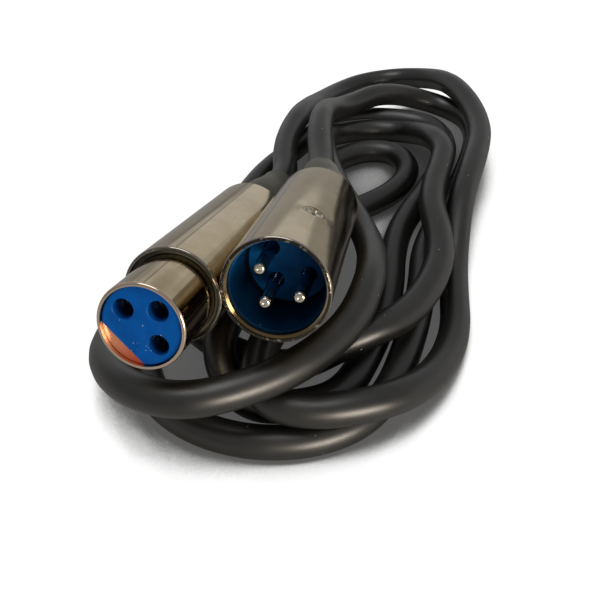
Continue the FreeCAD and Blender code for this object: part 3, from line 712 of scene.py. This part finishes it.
def copper(name: str, finish: SoftFinish) -> bpy.types.Material:
    """Makes the satin copper of the keeper plate, paler at its upper end.

    Args:
        name: the material's name.
        finish: its colours and measures.

    Returns:
        The material.
    """
    graph = Surface(name)
    place = graph.millimetres()
    right, up, behind, _ = graph.local(SOCKET)
    # The brushing runs across the slope, in lines about 0.24 mm apart
    slope = graph.add(Kind.SUBTRACT, right, up)
    wander = graph.add(Kind.MULTIPLY_ADD, graph.add(Kind.NOISE, place, 1 / finish.patch, 3.0), 3.0, slope)
    over = graph.add(Kind.MULTIPLY, graph.add(Kind.ADD, right, up), 5.0)
    brushed = graph.add(Kind.NOISE, graph.add(Kind.COMBINE, over, slope, behind), 1 / 1.2, 3.0)
    colour = graph.add(Kind.MIX, graph.add(Kind.SPREAD, wander, -3.0, 8.0), finish.main, finish.other)
    colour = graph.add(Kind.MIX, graph.add(Kind.SPREAD, brushed, 0.6, 0.8, 0.0, 0.2), colour, finish.rubbed_and_highlight)
    roughness = graph.add(Kind.SPREAD, brushed, 0.3, 0.7, finish.smooth, finish.rough)
    normal = graph.add(Kind.BUMP, brushed, finish.grain * MM)
    return graph.finish(colour, roughness, normal, metallic=0.55, specular=finish.specular)


def screen_braid(name: str) -> bpy.types.Material:
    """Makes a twisted bare copper screen.

    Args:
        name: the material's name.

    Returns:
        The material.
    """
    graph = Surface(name)
    place = graph.millimetres()
    # The strands are 0.15 mm thick and run along the wire
    strands = graph.add(Kind.NOISE, graph.add(Kind.STRETCH, place, (6.0, 1.2, 6.0)), 1 / 0.9, 2.0, 0.5)
    colour = graph.add(Kind.MIX, graph.add(Kind.SPREAD, strands, 0.35, 0.65), BRAID_DARK, BRAID_BRIGHT)
    return graph.finish(colour, graph.add(Kind.SPREAD, strands, 0.3, 0.7, 0.22, 0.42),
                        graph.add(Kind.BUMP, strands, 0.06 * MM), metallic=1.0)


# Meshes

def round_faces(rings: int, sides: int, closed: bool = False) -> np.ndarray:
    """Gives the four cornered faces between rings of corners.

    Corner s of ring r has the number r * sides + s. Each face joins two neighbouring corners of one ring to
    the same two of the next, round the whole ring, and where the rings are closed the last joins the first.

    Args:
        rings: how many rings there are.
        sides: the corners of a ring.
        closed: whether the last ring joins the first.

    Returns:
        One row of four corner numbers for each face.
    """
    ring, side = np.meshgrid(np.arange(rings if closed else rings - 1), np.arange(sides), indexing="ij")
    after, beyond = (side + 1) % sides, (ring + 1) % rings
    rows = (ring * sides + side, ring * sides + after, beyond * sides + after, beyond * sides + side)
    return np.stack(rows, axis=-1).reshape(-1, 4)


def swept(stations: Sequence[Tuple[Vector, Vector, float]], sides: int) -> Tuple[np.ndarray, list]:
    """Makes the skin of a closed round bar whose rings follow a line.

    The corner of station i at the angle t is middle + radius * (side * cos t + over * sin t). The side is
    the one before it made square to the new direction, and over is square to both.

    Args:
        stations: each ring's middle, direction and radius, in millimetres, from one end to the other.
        sides: the corners of a ring.

    Returns:
        The corners and the faces.
    """
    middles, ways, radii = (np.array(column, dtype=float) for column in zip(*stations))
    side = np.cross(ways[0], (0.0, 0.0, 1.0))
    across = []
    for way in ways:
        side = side - way * side.dot(way)
        side = side / np.linalg.norm(side)
        across.append(side)
    over = np.cross(ways, across)
    turns = np.linspace(0, 2 * math.pi, sides, endpoint=False)[None, :, None]
    spokes = np.array(across)[:, None] * np.cos(turns) + over[:, None] * np.sin(turns)
    corners = (middles[:, None] + spokes * radii[:, None, None]).reshape(-1, 3)
    last = (len(stations) - 1) * sides
    caps = [list(reversed(range(sides))), list(range(last, last + sides))]
    return corners, round_faces(len(stations), sides).tolist() + caps


def turned(origin: Vector, axes: Sequence[Vector], profile: Sequence[Tuple[float, float]], sides: int,
           sink: Optional[Callable[[np.ndarray, np.ndarray], np.ndarray]] = None) -> Tuple[np.ndarray, list]:
    """Makes a solid by turning an outline that starts and ends on its own axis.

    The corner of an outline point (r, a) at the angle t lies r * cos t along the first axis, r * sin t
    along the second and a, less what is sunk there, along the third.

    Args:
        origin: where the outline's distances are measured from, in millimetres.
        axes: two directions across the solid's axis and the one along it.
        profile: the outline's points, each a radius and a distance along the axis.
        sides: the steps round the axis.
        sink: gives how far the corners at two distances across the axis are sunk along it, if any are.

    Returns:
        The corners and the faces.
    """
    radii, along = np.array(profile[:-1]).T
    turns = np.linspace(0, 2 * math.pi, sides, endpoint=False)
    right, up = radii[:, None] * np.cos(turns), radii[:, None] * np.sin(turns)
    height = along[:, None] - (sink(right, up) if sink else np.zeros_like(right))
    grid = np.stack((right, up, height), axis=-1)
    local = np.vstack((grid[0, :1], grid[1:].reshape(-1, 3), (0.0, 0.0, profile[-1][1])))
    corners = np.array(origin) + local @ np.array(axes)
    rings = len(profile) - 2
    step = np.arange(sides)
    after, end, last = (step + 1) % sides, 1 + (rings - 1) * sides, len(corners) - 1
    front = np.stack((np.zeros_like(step), 1 + step, 1 + after), axis=-1)
    rear = np.stack((end + step, np.full_like(step, last), end + after), axis=-1)
    between = 1 + round_faces(rings, sides)[:, (0, 3, 2, 1)]
    return corners, front.tolist() + between.tolist() + rear.tolist()


def keep(name: str, vertices: np.ndarray, faces: Sequence[Sequence[int]], material: bpy.types.Material,
         node: str) -> None:
    """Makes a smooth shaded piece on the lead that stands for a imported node.

    Args:
        name: the piece's name.
        vertices: its corners, in millimetres.
        faces: its faces, each a list of corner numbers.
        material: its material.
        node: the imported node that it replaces.
    """
    mesh = bpy.data.meshes.new(name)
    mesh.from_pydata((vertices * MM).tolist(), [], faces)
    mesh.validate()
    mesh.shade_smooth()
    mesh.materials.append(material)
    piece = bpy.data.objects.new(name, mesh)
    bpy.context.scene.collection.objects.link(piece)
    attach(piece, LEAD)
    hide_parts(node)
    LOG.info("made %s for %s", name, node)


def dress(material: bpy.types.Material, *nodes: str) -> None:
    """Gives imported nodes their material.

    Args:
        material: the material.
        nodes: the nodes' names.
    """
    for node in nodes:
        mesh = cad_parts[node].data
        mesh.materials.clear()
        mesh.materials.append(material)
        LOG.info("dressed %s in %s", node, material.name)


# The lead's parts

@dataclass(frozen=True)
class Cable:
    """The free cable, from the socket's boot to the plug's.

    Attributes:
        diameter: its outer diameter, in millimetres.
        length: its free length, in millimetres.
        sides: the facets round it, on each quarter.
        steps: the pieces that each span of its curve is drawn with.
    """

    diameter: float = 6.8
    length: float = 1509.0
    sides: int = 7
    steps: int = 10

    def route(self) -> list:
        """Lists the places that the cable is drawn through, with one diameter straight at each end.

        Returns:
            The places, in millimetres.
        """
        way_out = Vector(SOCKET.leave) + compass(SOCKET.leave_heading, SOCKET.leave_droop) * self.diameter
        way_in = Vector(PLUG.leave) + compass(PLUG.leave_heading, PLUG.leave_droop) * self.diameter
        turns = SOCKET_TURN + BIGHT + INNER_TURN + OUTER_TURN + PLUG_TURN
        return [SOCKET.leave, tuple(way_out)] + turns + [tuple(way_in), PLUG.leave]

    def build(self, material: bpy.types.Material) -> None:
        """Makes the cable as one smooth round spline of the third order along its route.

        Args:
            material: the jacket.
        """
        curve = bpy.data.curves.new("cable", "CURVE")
        curve.dimensions = "3D"
        curve.bevel_depth = self.diameter / 2 * MM
        curve.bevel_resolution = self.sides
        curve.use_fill_caps = True
        route = self.route()
        spline = curve.splines.new("NURBS")
        spline.points.add(len(route) - 1)
        for point, place in zip(spline.points, route):
            point.co = (*(value * MM for value in place), 1.0)
        spline.order_u = 3
        spline.use_endpoint_u = True
        spline.resolution_u = self.steps
        curve.materials.append(material)
        piece = bpy.data.objects.new("cable", curve)
        bpy.context.scene.collection.objects.link(piece)
        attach(piece, LEAD)
        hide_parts("cable_coil")
        LOG.info("made the cable for cable_coil")


@dataclass(frozen=True)
class Boot:
    """A rubber boot, which narrows smoothly from the barrel to the cable and ends in a rounded lip.

    Attributes:
        collar: how far it reaches into the barrel, in millimetres.
        radius: its radius there, in millimetres.
        outline: pairs of a share of its bend and a radius in millimetres.
        lip: how far its end is rounded over, in millimetres.
        rings: the rings along its bend.
        even: the rings that its outline is averaged over.
        sides: the corners of a ring.
    """

    collar: float = 7.0
    radius: float = 7.3
    outline: tuple = ((0.0, 7.3), (0.2, 7.3), (0.45, 7.0), (0.65, 6.2), (0.8, 5.3), (0.92, 4.7), (1.0, 4.55))
    lip: float = 0.5
    rings: int = 41
    even: int = 9
    sides: int = 64

    def build(self, connector: Connector, material: bpy.types.Material) -> None:
        """Makes the boot round a connector's bend.

        Its radius is the outline's, averaged over the rings next to each. At the lip it is less by
        lip * (1 - cos t), while the ring moves on by lip * sin t.

        Args:
            connector: the connector.
            material: the rubber.
        """
        shares, radii = zip(*self.outline)
        stations = [(connector.at(0, 0, connector.length - self.collar), connector.back, self.radius)]
        places = np.linspace(0, 1, self.rings)
        table = np.pad(np.interp(places, shares, radii), self.even // 2, mode="edge")
        smooth = np.convolve(table, np.ones(self.even) / self.even, mode="valid")
        stations += [(*connector.flexed(float(share)), float(radius))
                     for share, radius in zip(places, smooth)]
        end, way, radius = stations[-1]
        for turn in np.linspace(0, math.pi / 2, 6)[1:]:
            narrowed = radius - self.lip * (1 - math.cos(turn))
            stations.append((end + way * self.lip * math.sin(turn), way, narrowed))
        stations.append((end + way * self.lip, way, CABLE.diameter / 2 - 0.1))
        corners, faces = swept(stations, self.sides)
        name = connector.name + "_boot"
        keep("rubber_" + name, corners, faces, material, name)


@dataclass(frozen=True)
class Inside:
    """What both connectors hold behind their contacts.

    Attributes:
        grip: how far before the barrel's rear the cable's jacket is cut, in millimetres.
        circle: the radius of the circle that the contacts stand on, in millimetres.
        spread: the angle from the middle contact to each of the others, in degrees.
        core_circle: the radius of the circle that the wires leave the cable on, in millimetres.
        wire: a wire's radius, in millimetres.
        wire_end: its radius at its ends, in millimetres.
    """

    grip: float = 16.0
    circle: float = 4.2
    spread: float = 95.0
    core_circle: float = 1.6
    wire: float = 0.7
    wire_end: float = 0.62

    def contacts(self, connector: Connector) -> dict:
        """Gives each contact's angle round the connector's axis, in degrees."""
        middle = connector.middle
        return {"one": middle - self.spread, "middle": middle, "two": middle + self.spread}

    def build_cable_end(self, connector: Connector, material: bpy.types.Material) -> None:
        """Makes the length of cable inside a boot and the jaws, cut square with its edge rounded.

        Args:
            connector: the connector.
            material: the jacket.
        """
        front = connector.length - self.grip
        radius = CABLE.diameter / 2
        stations = [(connector.at(0, 0, front + 0.1), connector.back, radius - 0.5)]
        stations += [(connector.at(0, 0, front + 0.15 + 0.25 * share), connector.back,
                      radius - 0.3 + 0.3 * share)
                     for share in (0.0, 0.5, 1.0)]
        stations += [(connector.at(0, 0, front + behind), connector.back, radius)
                     for behind in (3.0, 8.0, 12.0)]
        stations += [(*connector.flexed(float(share)), radius) for share in np.linspace(0, 1, 17)]
        corners, faces = swept(stations, 40)
        name = connector.name + "_cable_end"
        keep("jacket_" + name, corners, faces, material, name)

    def build_wire(self, connector: Connector, title: str, angle: float, material: bpy.types.Material) -> None:
        """Makes one insulated wire from its solder cup to the cable's cut end.

        Its distance from the axis goes from the contacts' circle to the cores' by 3 m squared less
        2 m cubed, where m runs from 0 to 1 over the middle of its length.

        Args:
            connector: the connector that it is in.
            title: its contact's name.
            angle: its contact's angle round the axis, in degrees.
            material: its insulation.
        """
        begin, end = connector.cup_rear, connector.length - self.grip
        turn = math.radians(angle)
        stations = []
        for share in np.linspace(0, 1, 25):
            move = min(max((float(share) - 0.25) / 0.6, 0.0), 1.0)
            out = self.circle + (self.core_circle - self.circle) * (3 * move ** 2 - 2 * move ** 3)
            place = connector.at(out * math.cos(turn), out * math.sin(turn),
                                 begin + (end - begin) * float(share))
            stations.append((place, connector.back, self.wire_end if share in (0.0, 1.0) else self.wire))
        corners, faces = swept(stations, 20)
        name = "%s_wire_%s" % (connector.name, title)
        keep("core_" + name, corners, faces, material, name)

    def build(self, connector: Connector, soft: dict) -> None:
        """Makes a connector's wires and cable end, and dresses its cable clamp.

        Args:
            connector: the connector.
            soft: the plastics and rubbers, by their slots.
        """
        slots = {"one": Slot.WIRE_BARE, "middle": Slot.WIRE_RED, "two": Slot.WIRE_WHITE}
        for title, angle in self.contacts(connector).items():
            self.build_wire(connector, title, angle, soft[slots[title]])
        self.build_cable_end(connector, soft[Slot.JACKET])
        name = connector.name
        dress(soft[Slot.PLASTIC], name + "_clamp_upper", name + "_clamp_lower")
        steel = metal(name + " steel", STEEL, connector)
        dress(steel, name + "_clamp_screw_left", name + "_clamp_screw_right")


@dataclass(frozen=True)
class Plug(Connector):
    """The three pin end. Distances are in millimetres, behind the rim or out from the axis.

    Attributes:
        pin: a pin's outline from its dimpled tip to its solder cup, each point a radius and a distance.
        shade: where the pins begin to reflect the cup instead of the room.
        screw: the cupped set screw's outline, each point a radius and a distance out.
        screw_angle: the screw's place round the axis, in degrees.
        screw_place: how far behind the rim the screw is.
        slot: half the length, half the width and the depth of the screw's slot.
        band: the radius of the mouth's darkened flat, its place behind the rim and how far it is darkened.
    """

    pin: tuple = (
        (0.0, 2.64), (0.2, 2.62), (0.3, 2.54), (0.6, 2.53), (0.8, 2.62), (0.95, 2.76), (1.02, 2.88),
        (1.08, 2.96), (1.15, 3.05), (1.19, 3.2), (1.195, 3.4), (1.195, 8.0), (1.195, 13.98), (1.5, 14.02),
        (1.5, 20.0), (1.5, 28.98), (1.44, 29.0), (0.72, 29.0), (0.7, 28.9), (0.7, 24.1), (0.6, 24.0),
        (0.0, 24.0))
    shade: float = 4.2
    screw: tuple = (
        (0.0, 9.0), (0.3, 9.0), (0.5, 8.99), (0.7, 8.98), (0.9, 8.99), (1.1, 9.02), (1.3, 9.08), (1.5, 9.18),
        (1.65, 9.28), (1.78, 9.33), (1.9, 9.33), (2.0, 9.27), (2.06, 9.15), (2.09, 8.9), (2.09, 8.56),
        (0.0, 8.55))
    screw_angle: float = 68.0
    screw_place: float = 18.0
    slot: tuple = (1.35, 0.36, 0.34)
    band: tuple = (9.5, 0.0, 0.9)

    def build_pin(self, title: str, angle: float, material: bpy.types.Material) -> None:
        """Makes one pin, turned from its outline about a line on the contacts' circle.

        Args:
            title: the pin's name.
            angle: its angle round the axis, in degrees.
            material: its plating.
        """
        turn = math.radians(angle)
        foot = self.at(INSIDE.circle * math.cos(turn), INSIDE.circle * math.sin(turn), 0)
        corners, faces = turned(foot, (self.across, self.upward, self.back), self.pin, 48)
        keep("turned_pin_" + title, corners, faces, material, "plug_pin_" + title)

    def build_set_screw(self, material: bpy.types.Material) -> None:
        """Makes the set screw, turned about the line out through the barrel's wall, with its slot sunk.

        Args:
            material: its steel.
        """
        turn = math.radians(self.screw_angle)
        outward = self.across * math.cos(turn) + self.upward * math.sin(turn)
        long_half, wide_half, depth = self.slot

        def sink(right: np.ndarray, up: np.ndarray) -> np.ndarray:
            """Gives the slot's depth inside its rectangle."""
            return np.where((np.abs(up) < wide_half) & (np.abs(right) < long_half), depth, 0.0)

        axes = (self.back, outward.cross(self.back), outward)
        corners, faces = turned(self.at(0, 0, self.screw_place), axes, self.screw, 96, sink)
        keep("slotted_set_screw", corners, faces, material, "plug_set_screw")

    def build(self, soft: dict) -> None:
        """Makes and dresses the plug.

        Args:
            soft: the plastics and rubbers, by their slots.
        """
        INSIDE.build(self, soft)
        BOOT.build(self, soft[Slot.BOOT])
        plating = metal("plug plating", PLATING, self, inside=self.shade)
        for title, angle in INSIDE.contacts(self).items():
            self.build_pin(title, angle, plating)
        self.build_set_screw(metal("plug screw", STEEL, self))
        dress(metal("plug nickel", NICKEL, self, rim=self.band), "plug_shell")
        dress(cup_plastic("cup plastic", DEEP_BLUE), "plug_insert")


@dataclass(frozen=True)
class Socket(Connector):
    """The three hole end. Distances are in millimetres, behind the nose's rim or out from the axis.

    Attributes:
        ring: the seal ring's outline, with two soft lips, each point a radius and a distance behind.
        barrel_band: the radius of the barrel's flat, its place behind the rim and how far it is darkened.
        nose_band: the same of the nose, whose flat isn't darkened and whose edge has a pale painted highlight.
        rubbed_and_highlight: the colour of the pale painted highlight on the nose's rim edge.
    """

    ring: tuple = (
        (8.0, 20.6), (8.0, 14.6), (8.1, 14.4), (8.3, 14.35), (8.45, 14.5), (8.55, 14.7), (8.65, 14.5),
        (8.78, 14.45), (8.86, 14.6), (8.88, 15.0), (8.88, 20.6))
    barrel_band: tuple = (9.5, 13.7, 0.45)
    nose_band: tuple = (7.95, 0.0, 0.0)
    # The pale painted highlight on the nose's rim edge
    rubbed_and_highlight: str = "e6cfbb"

    def build_seal_ring(self, material: bpy.types.Material) -> None:
        """Makes the rubber ring in the gap behind the nose.

        The corner of an outline point (r, b) at the angle t is r * cos t to the right of the axis,
        r * sin t above it and b behind the rim.

        Args:
            material: the rubber.
        """
        radii, behind = np.array(self.ring).T
        turns = np.linspace(0, 2 * math.pi, 120, endpoint=False)[:, None]
        local = np.stack(np.broadcast_arrays(radii * np.cos(turns), radii * np.sin(turns), behind), axis=-1)
        corners = np.array(self.rim) + local.reshape(-1, 3) @ np.array((self.across, self.upward, self.back))
        faces = round_faces(len(turns), len(self.ring), closed=True).tolist()
        keep("rubber_seal_ring", corners, faces, material, "socket_seal_ring")

    def build(self, soft: dict) -> None:
        """Makes and dresses the socket.

        Args:
            soft: the plastics and rubbers, by their slots.
        """
        INSIDE.build(self, soft)
        BOOT.build(self, soft[Slot.BOOT])
        self.build_seal_ring(soft[Slot.BOOT])
        dress(face_plastic("face plastic", BLUE), "socket_insert")
        dress(metal("socket nickel", NICKEL, self, rim=self.barrel_band), "socket_barrel")
        dress(metal("nose nickel", NICKEL, self, rim=self.nose_band, bright=self.rubbed_and_highlight), "socket_nose")
        dress(copper("copper", COPPER), "socket_keeper_plate")
        plating = metal("socket plating", PLATING, self)
        dress(plating, "socket_contact_one", "socket_contact_middle", "socket_contact_two")
        dress(metal("latch steel", STEEL, self), "socket_latch", "socket_latch_pin", "socket_latch_spring")
        dress(soft[Slot.PLASTIC], "socket_latch_carrier")


CABLE = Cable()
BOOT = Boot()
INSIDE = Inside()
PLUG = Plug(
    name="plug", rim=(-11.6, -74.9, 36), heading=9.5, droop=17.6, length=50.9, leave=(-2.3, -9.5, 18.5),
    leave_heading=4.0, leave_droop=6.0, middle=238.0, cup_rear=29.0, flank=-0.4)
SOCKET = Socket(
    name="socket", rim=(-33.8, -78.7, 31.4), heading=13.5, droop=17.6, length=62.9, leave=(-13.3, -3, 11),
    leave_heading=18.0, leave_droop=4.0, middle=48.0, cup_rear=30.0, flank=0.12)


# The studio

@dataclass(frozen=True)
class Lamp:
    """A soft rectangular lamp.

    Attributes:
        place: where it is, in metres.
        aim: the point that it faces, in metres.
        width: its width, in metres.
        height: its height, in metres.
        power: its power, in watts.
        tint: its colour.
    """

    place: Point
    aim: Point
    width: float
    height: float
    power: float
    tint: str = "ffffff"

    def hang(self, name: str) -> None:
        """Hangs the lamp.

        Args:
            name: the lamp's name.
        """
        data = bpy.data.lights.new(name, "AREA")
        data.shape = "RECTANGLE"
        data.size, data.size_y = self.width, self.height
        data.energy = self.power
        data.color = linear(self.tint)[:3]
        hung = bpy.data.objects.new(name, data)
        hung.location = self.place
        hung.rotation_euler = (Vector(self.aim) - Vector(self.place)).to_track_quat("-Z", "Y").to_euler()
        bpy.context.scene.collection.objects.link(hung)


@dataclass(frozen=True)
class Studio:
    """The light, the floor and the surroundings.

    Attributes:
        ambient: how bright the surroundings are to matt surfaces.
        overhead: how bright they are in reflections, straight up.
        horizon: how bright they are in reflections, level.
        window: how much brighter the bright side behind the coil is in reflections.
        window_way: the way to that side.
        floor: the floor's colour.
        floor_cloud: its colour in paler clouds.
        reach: how far the floor's shade looks for what stands near it, in metres.
        loop: the middle of the coil's small loop, whose floor is in deeper shade, in millimetres.
        loop_shade: how bright the floor there is.
        seen_white: the share of pure white in the floor that the camera sees.
        mirrored_white: the same share in reflections.
        lamps: the lamps.
    """

    ambient: float = 0.3
    overhead: float = 0.3
    horizon: float = 0.22
    window: float = 0.32
    window_way: Point = (0.5, 0.87, 0.0)
    floor: str = "a5a39e"
    floor_cloud: str = "aeaca7"
    reach: float = 0.045
    loop: Point = (18.0, 22.0, 0.0)
    loop_shade: float = 0.32
    seen_white: float = 0.85
    mirrored_white: float = 0.12
    lamps: tuple = (
        Lamp((0.45, -0.8, 0.16), (0, 0, 0.02), 0.5, 0.3, 6.5, "fff1df"),
        Lamp((-0.15, 0.0, 1.0), (0, 0, 0), 0.6, 0.6, 2.4),
        Lamp((0.05, 1.1, 0.12), (0, 0, 0.03), 1.0, 0.35, 0.15),
    )

    def surround(self) -> None:
        """Makes the surroundings: white to the camera, and soft with one bright side to reflections."""
        made = bpy.data.worlds.new("studio")
        made.use_nodes = True
        graph = Graph(made.node_tree)
        way = graph.add(Kind.DIRECTION)
        height = graph.add(Kind.HEIGHT, way)
        rise = graph.add(Kind.RAMP, height, 0.0, 0.8, self.horizon, self.overhead)
        side = graph.add(Kind.RAMP, graph.add(Kind.DOT, way, self.window_way), 0.05, 0.5)
        low = graph.add(Kind.RAMP, height, 0.45, 0.2, 0.0, self.window)
        sky = graph.add(Kind.MULTIPLY_ADD, side, low, rise)
        ray = graph.add(Kind.RAY).node.outputs
        mirrored = graph.add(Kind.MAXIMUM, ray["Is Glossy Ray"], ray["Is Transmission Ray"])
        unseen = graph.add(Kind.BLEND, mirrored, self.ambient, sky)
        background = made.node_tree.nodes["Background"]
        background.inputs["Color"].default_value = linear("ffffff")
        graph.feed(background.inputs["Strength"], graph.add(Kind.BLEND, ray["Is Camera Ray"], unseen, 1.0))
        bpy.context.scene.world = made

    def floor_surface(self) -> bpy.types.Material:
        """Makes the matt table, white to the camera where open, with painted shade near the cable and inside
        the coil.

        Returns:
            The material.
        """
        graph = Surface("table")
        place = graph.millimetres()
        cloud = graph.add(Kind.NOISE, place, 1 / 60.0, 2.0)
        colour = graph.add(Kind.MIX, cloud, self.floor, self.floor_cloud)
        graph.finish(colour, graph.add(Kind.SPREAD, cloud, 0.3, 0.7, 0.55, 0.65),
                     graph.add(Kind.BUMP, graph.add(Kind.NOISE, place, 1 / 0.8), 0.01 * MM))
        # Painted shade: the white that the camera sees dims where the cable stands near, and more round the
        # coil's small loop
        open_sky = graph.add(Kind.SPREAD, graph.add(Kind.OPENNESS, self.reach), 0.46, 0.66, 0.1, 1.2)
        away = graph.add(Kind.DISTANCE, place, self.loop)
        open_sky = graph.add(Kind.MULTIPLY, open_sky,
                             graph.add(Kind.SPREAD, away, 18.0, 34.0, self.loop_shade, 1.0))
        ray = graph.add(Kind.RAY).node.outputs
        mirrored = graph.add(Kind.MAXIMUM, ray["Is Glossy Ray"], ray["Is Transmission Ray"])
        faint = graph.add(Kind.MULTIPLY, mirrored, self.mirrored_white)
        share = graph.add(Kind.MULTIPLY_ADD, ray["Is Camera Ray"], self.seen_white, faint, use_clamp=True)
        white = graph.add(Kind.EMISSION, open_sky)
        both = graph.add(Kind.MIX_SHADER, share, graph.shader.outputs[0], white)
        graph.feed(graph.output.inputs["Surface"], both)
        return graph.material

    def lay_floor(self) -> None:
        """Lays the table, a level grid of squares 0.1 m wide."""
        count = 31
        steps = np.linspace(-1.5, 1.5, count)
        across, along = np.meshgrid(steps, steps)
        corners = np.stack((across, along, np.zeros_like(across)), axis=-1).reshape(-1, 3)
        row, column = np.divmod(np.arange((count - 1) ** 2), count - 1)
        first = row * count + column
        faces = np.stack((first, first + 1, first + count + 1, first + count), axis=-1)
        mesh = bpy.data.meshes.new("table")
        mesh.from_pydata(corners.tolist(), [], faces.tolist())
        mesh.materials.append(self.floor_surface())
        piece = bpy.data.objects.new("table", mesh)
        bpy.context.scene.collection.objects.link(piece)

    def build(self) -> None:
        """Lays the floor, hangs the lamps and makes the surroundings."""
        self.lay_floor()
        for number, lamp in enumerate(self.lamps):
            lamp.hang("lamp_%d" % number)
        self.surround()


VIEW = Viewpoint()
STUDIO = Studio()


def main() -> None:
    """Builds the scene: the camera and the cable first, then the two connectors and the studio."""
    logging.basicConfig(level=logging.INFO)
    bpy.context.scene.view_settings.view_transform = "Standard"
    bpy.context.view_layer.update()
    VIEW.build()
    soft = {
        Slot.JACKET: moulded("cable jacket", JACKET),
        Slot.BOOT: moulded("boot rubber", RUBBER),
        Slot.PLASTIC: moulded("black plastic", PLASTIC),
        Slot.WIRE_WHITE: moulded("white wire", WHITE_WIRE),
        Slot.WIRE_RED: moulded("red wire", RED_WIRE),
        Slot.WIRE_BARE: screen_braid("bare wire"),
    }
    CABLE.build(soft[Slot.JACKET])
    PLUG.build(soft)
    SOCKET.build(soft)
    STUDIO.build()
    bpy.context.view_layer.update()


if __name__ == "__main__":
    main()
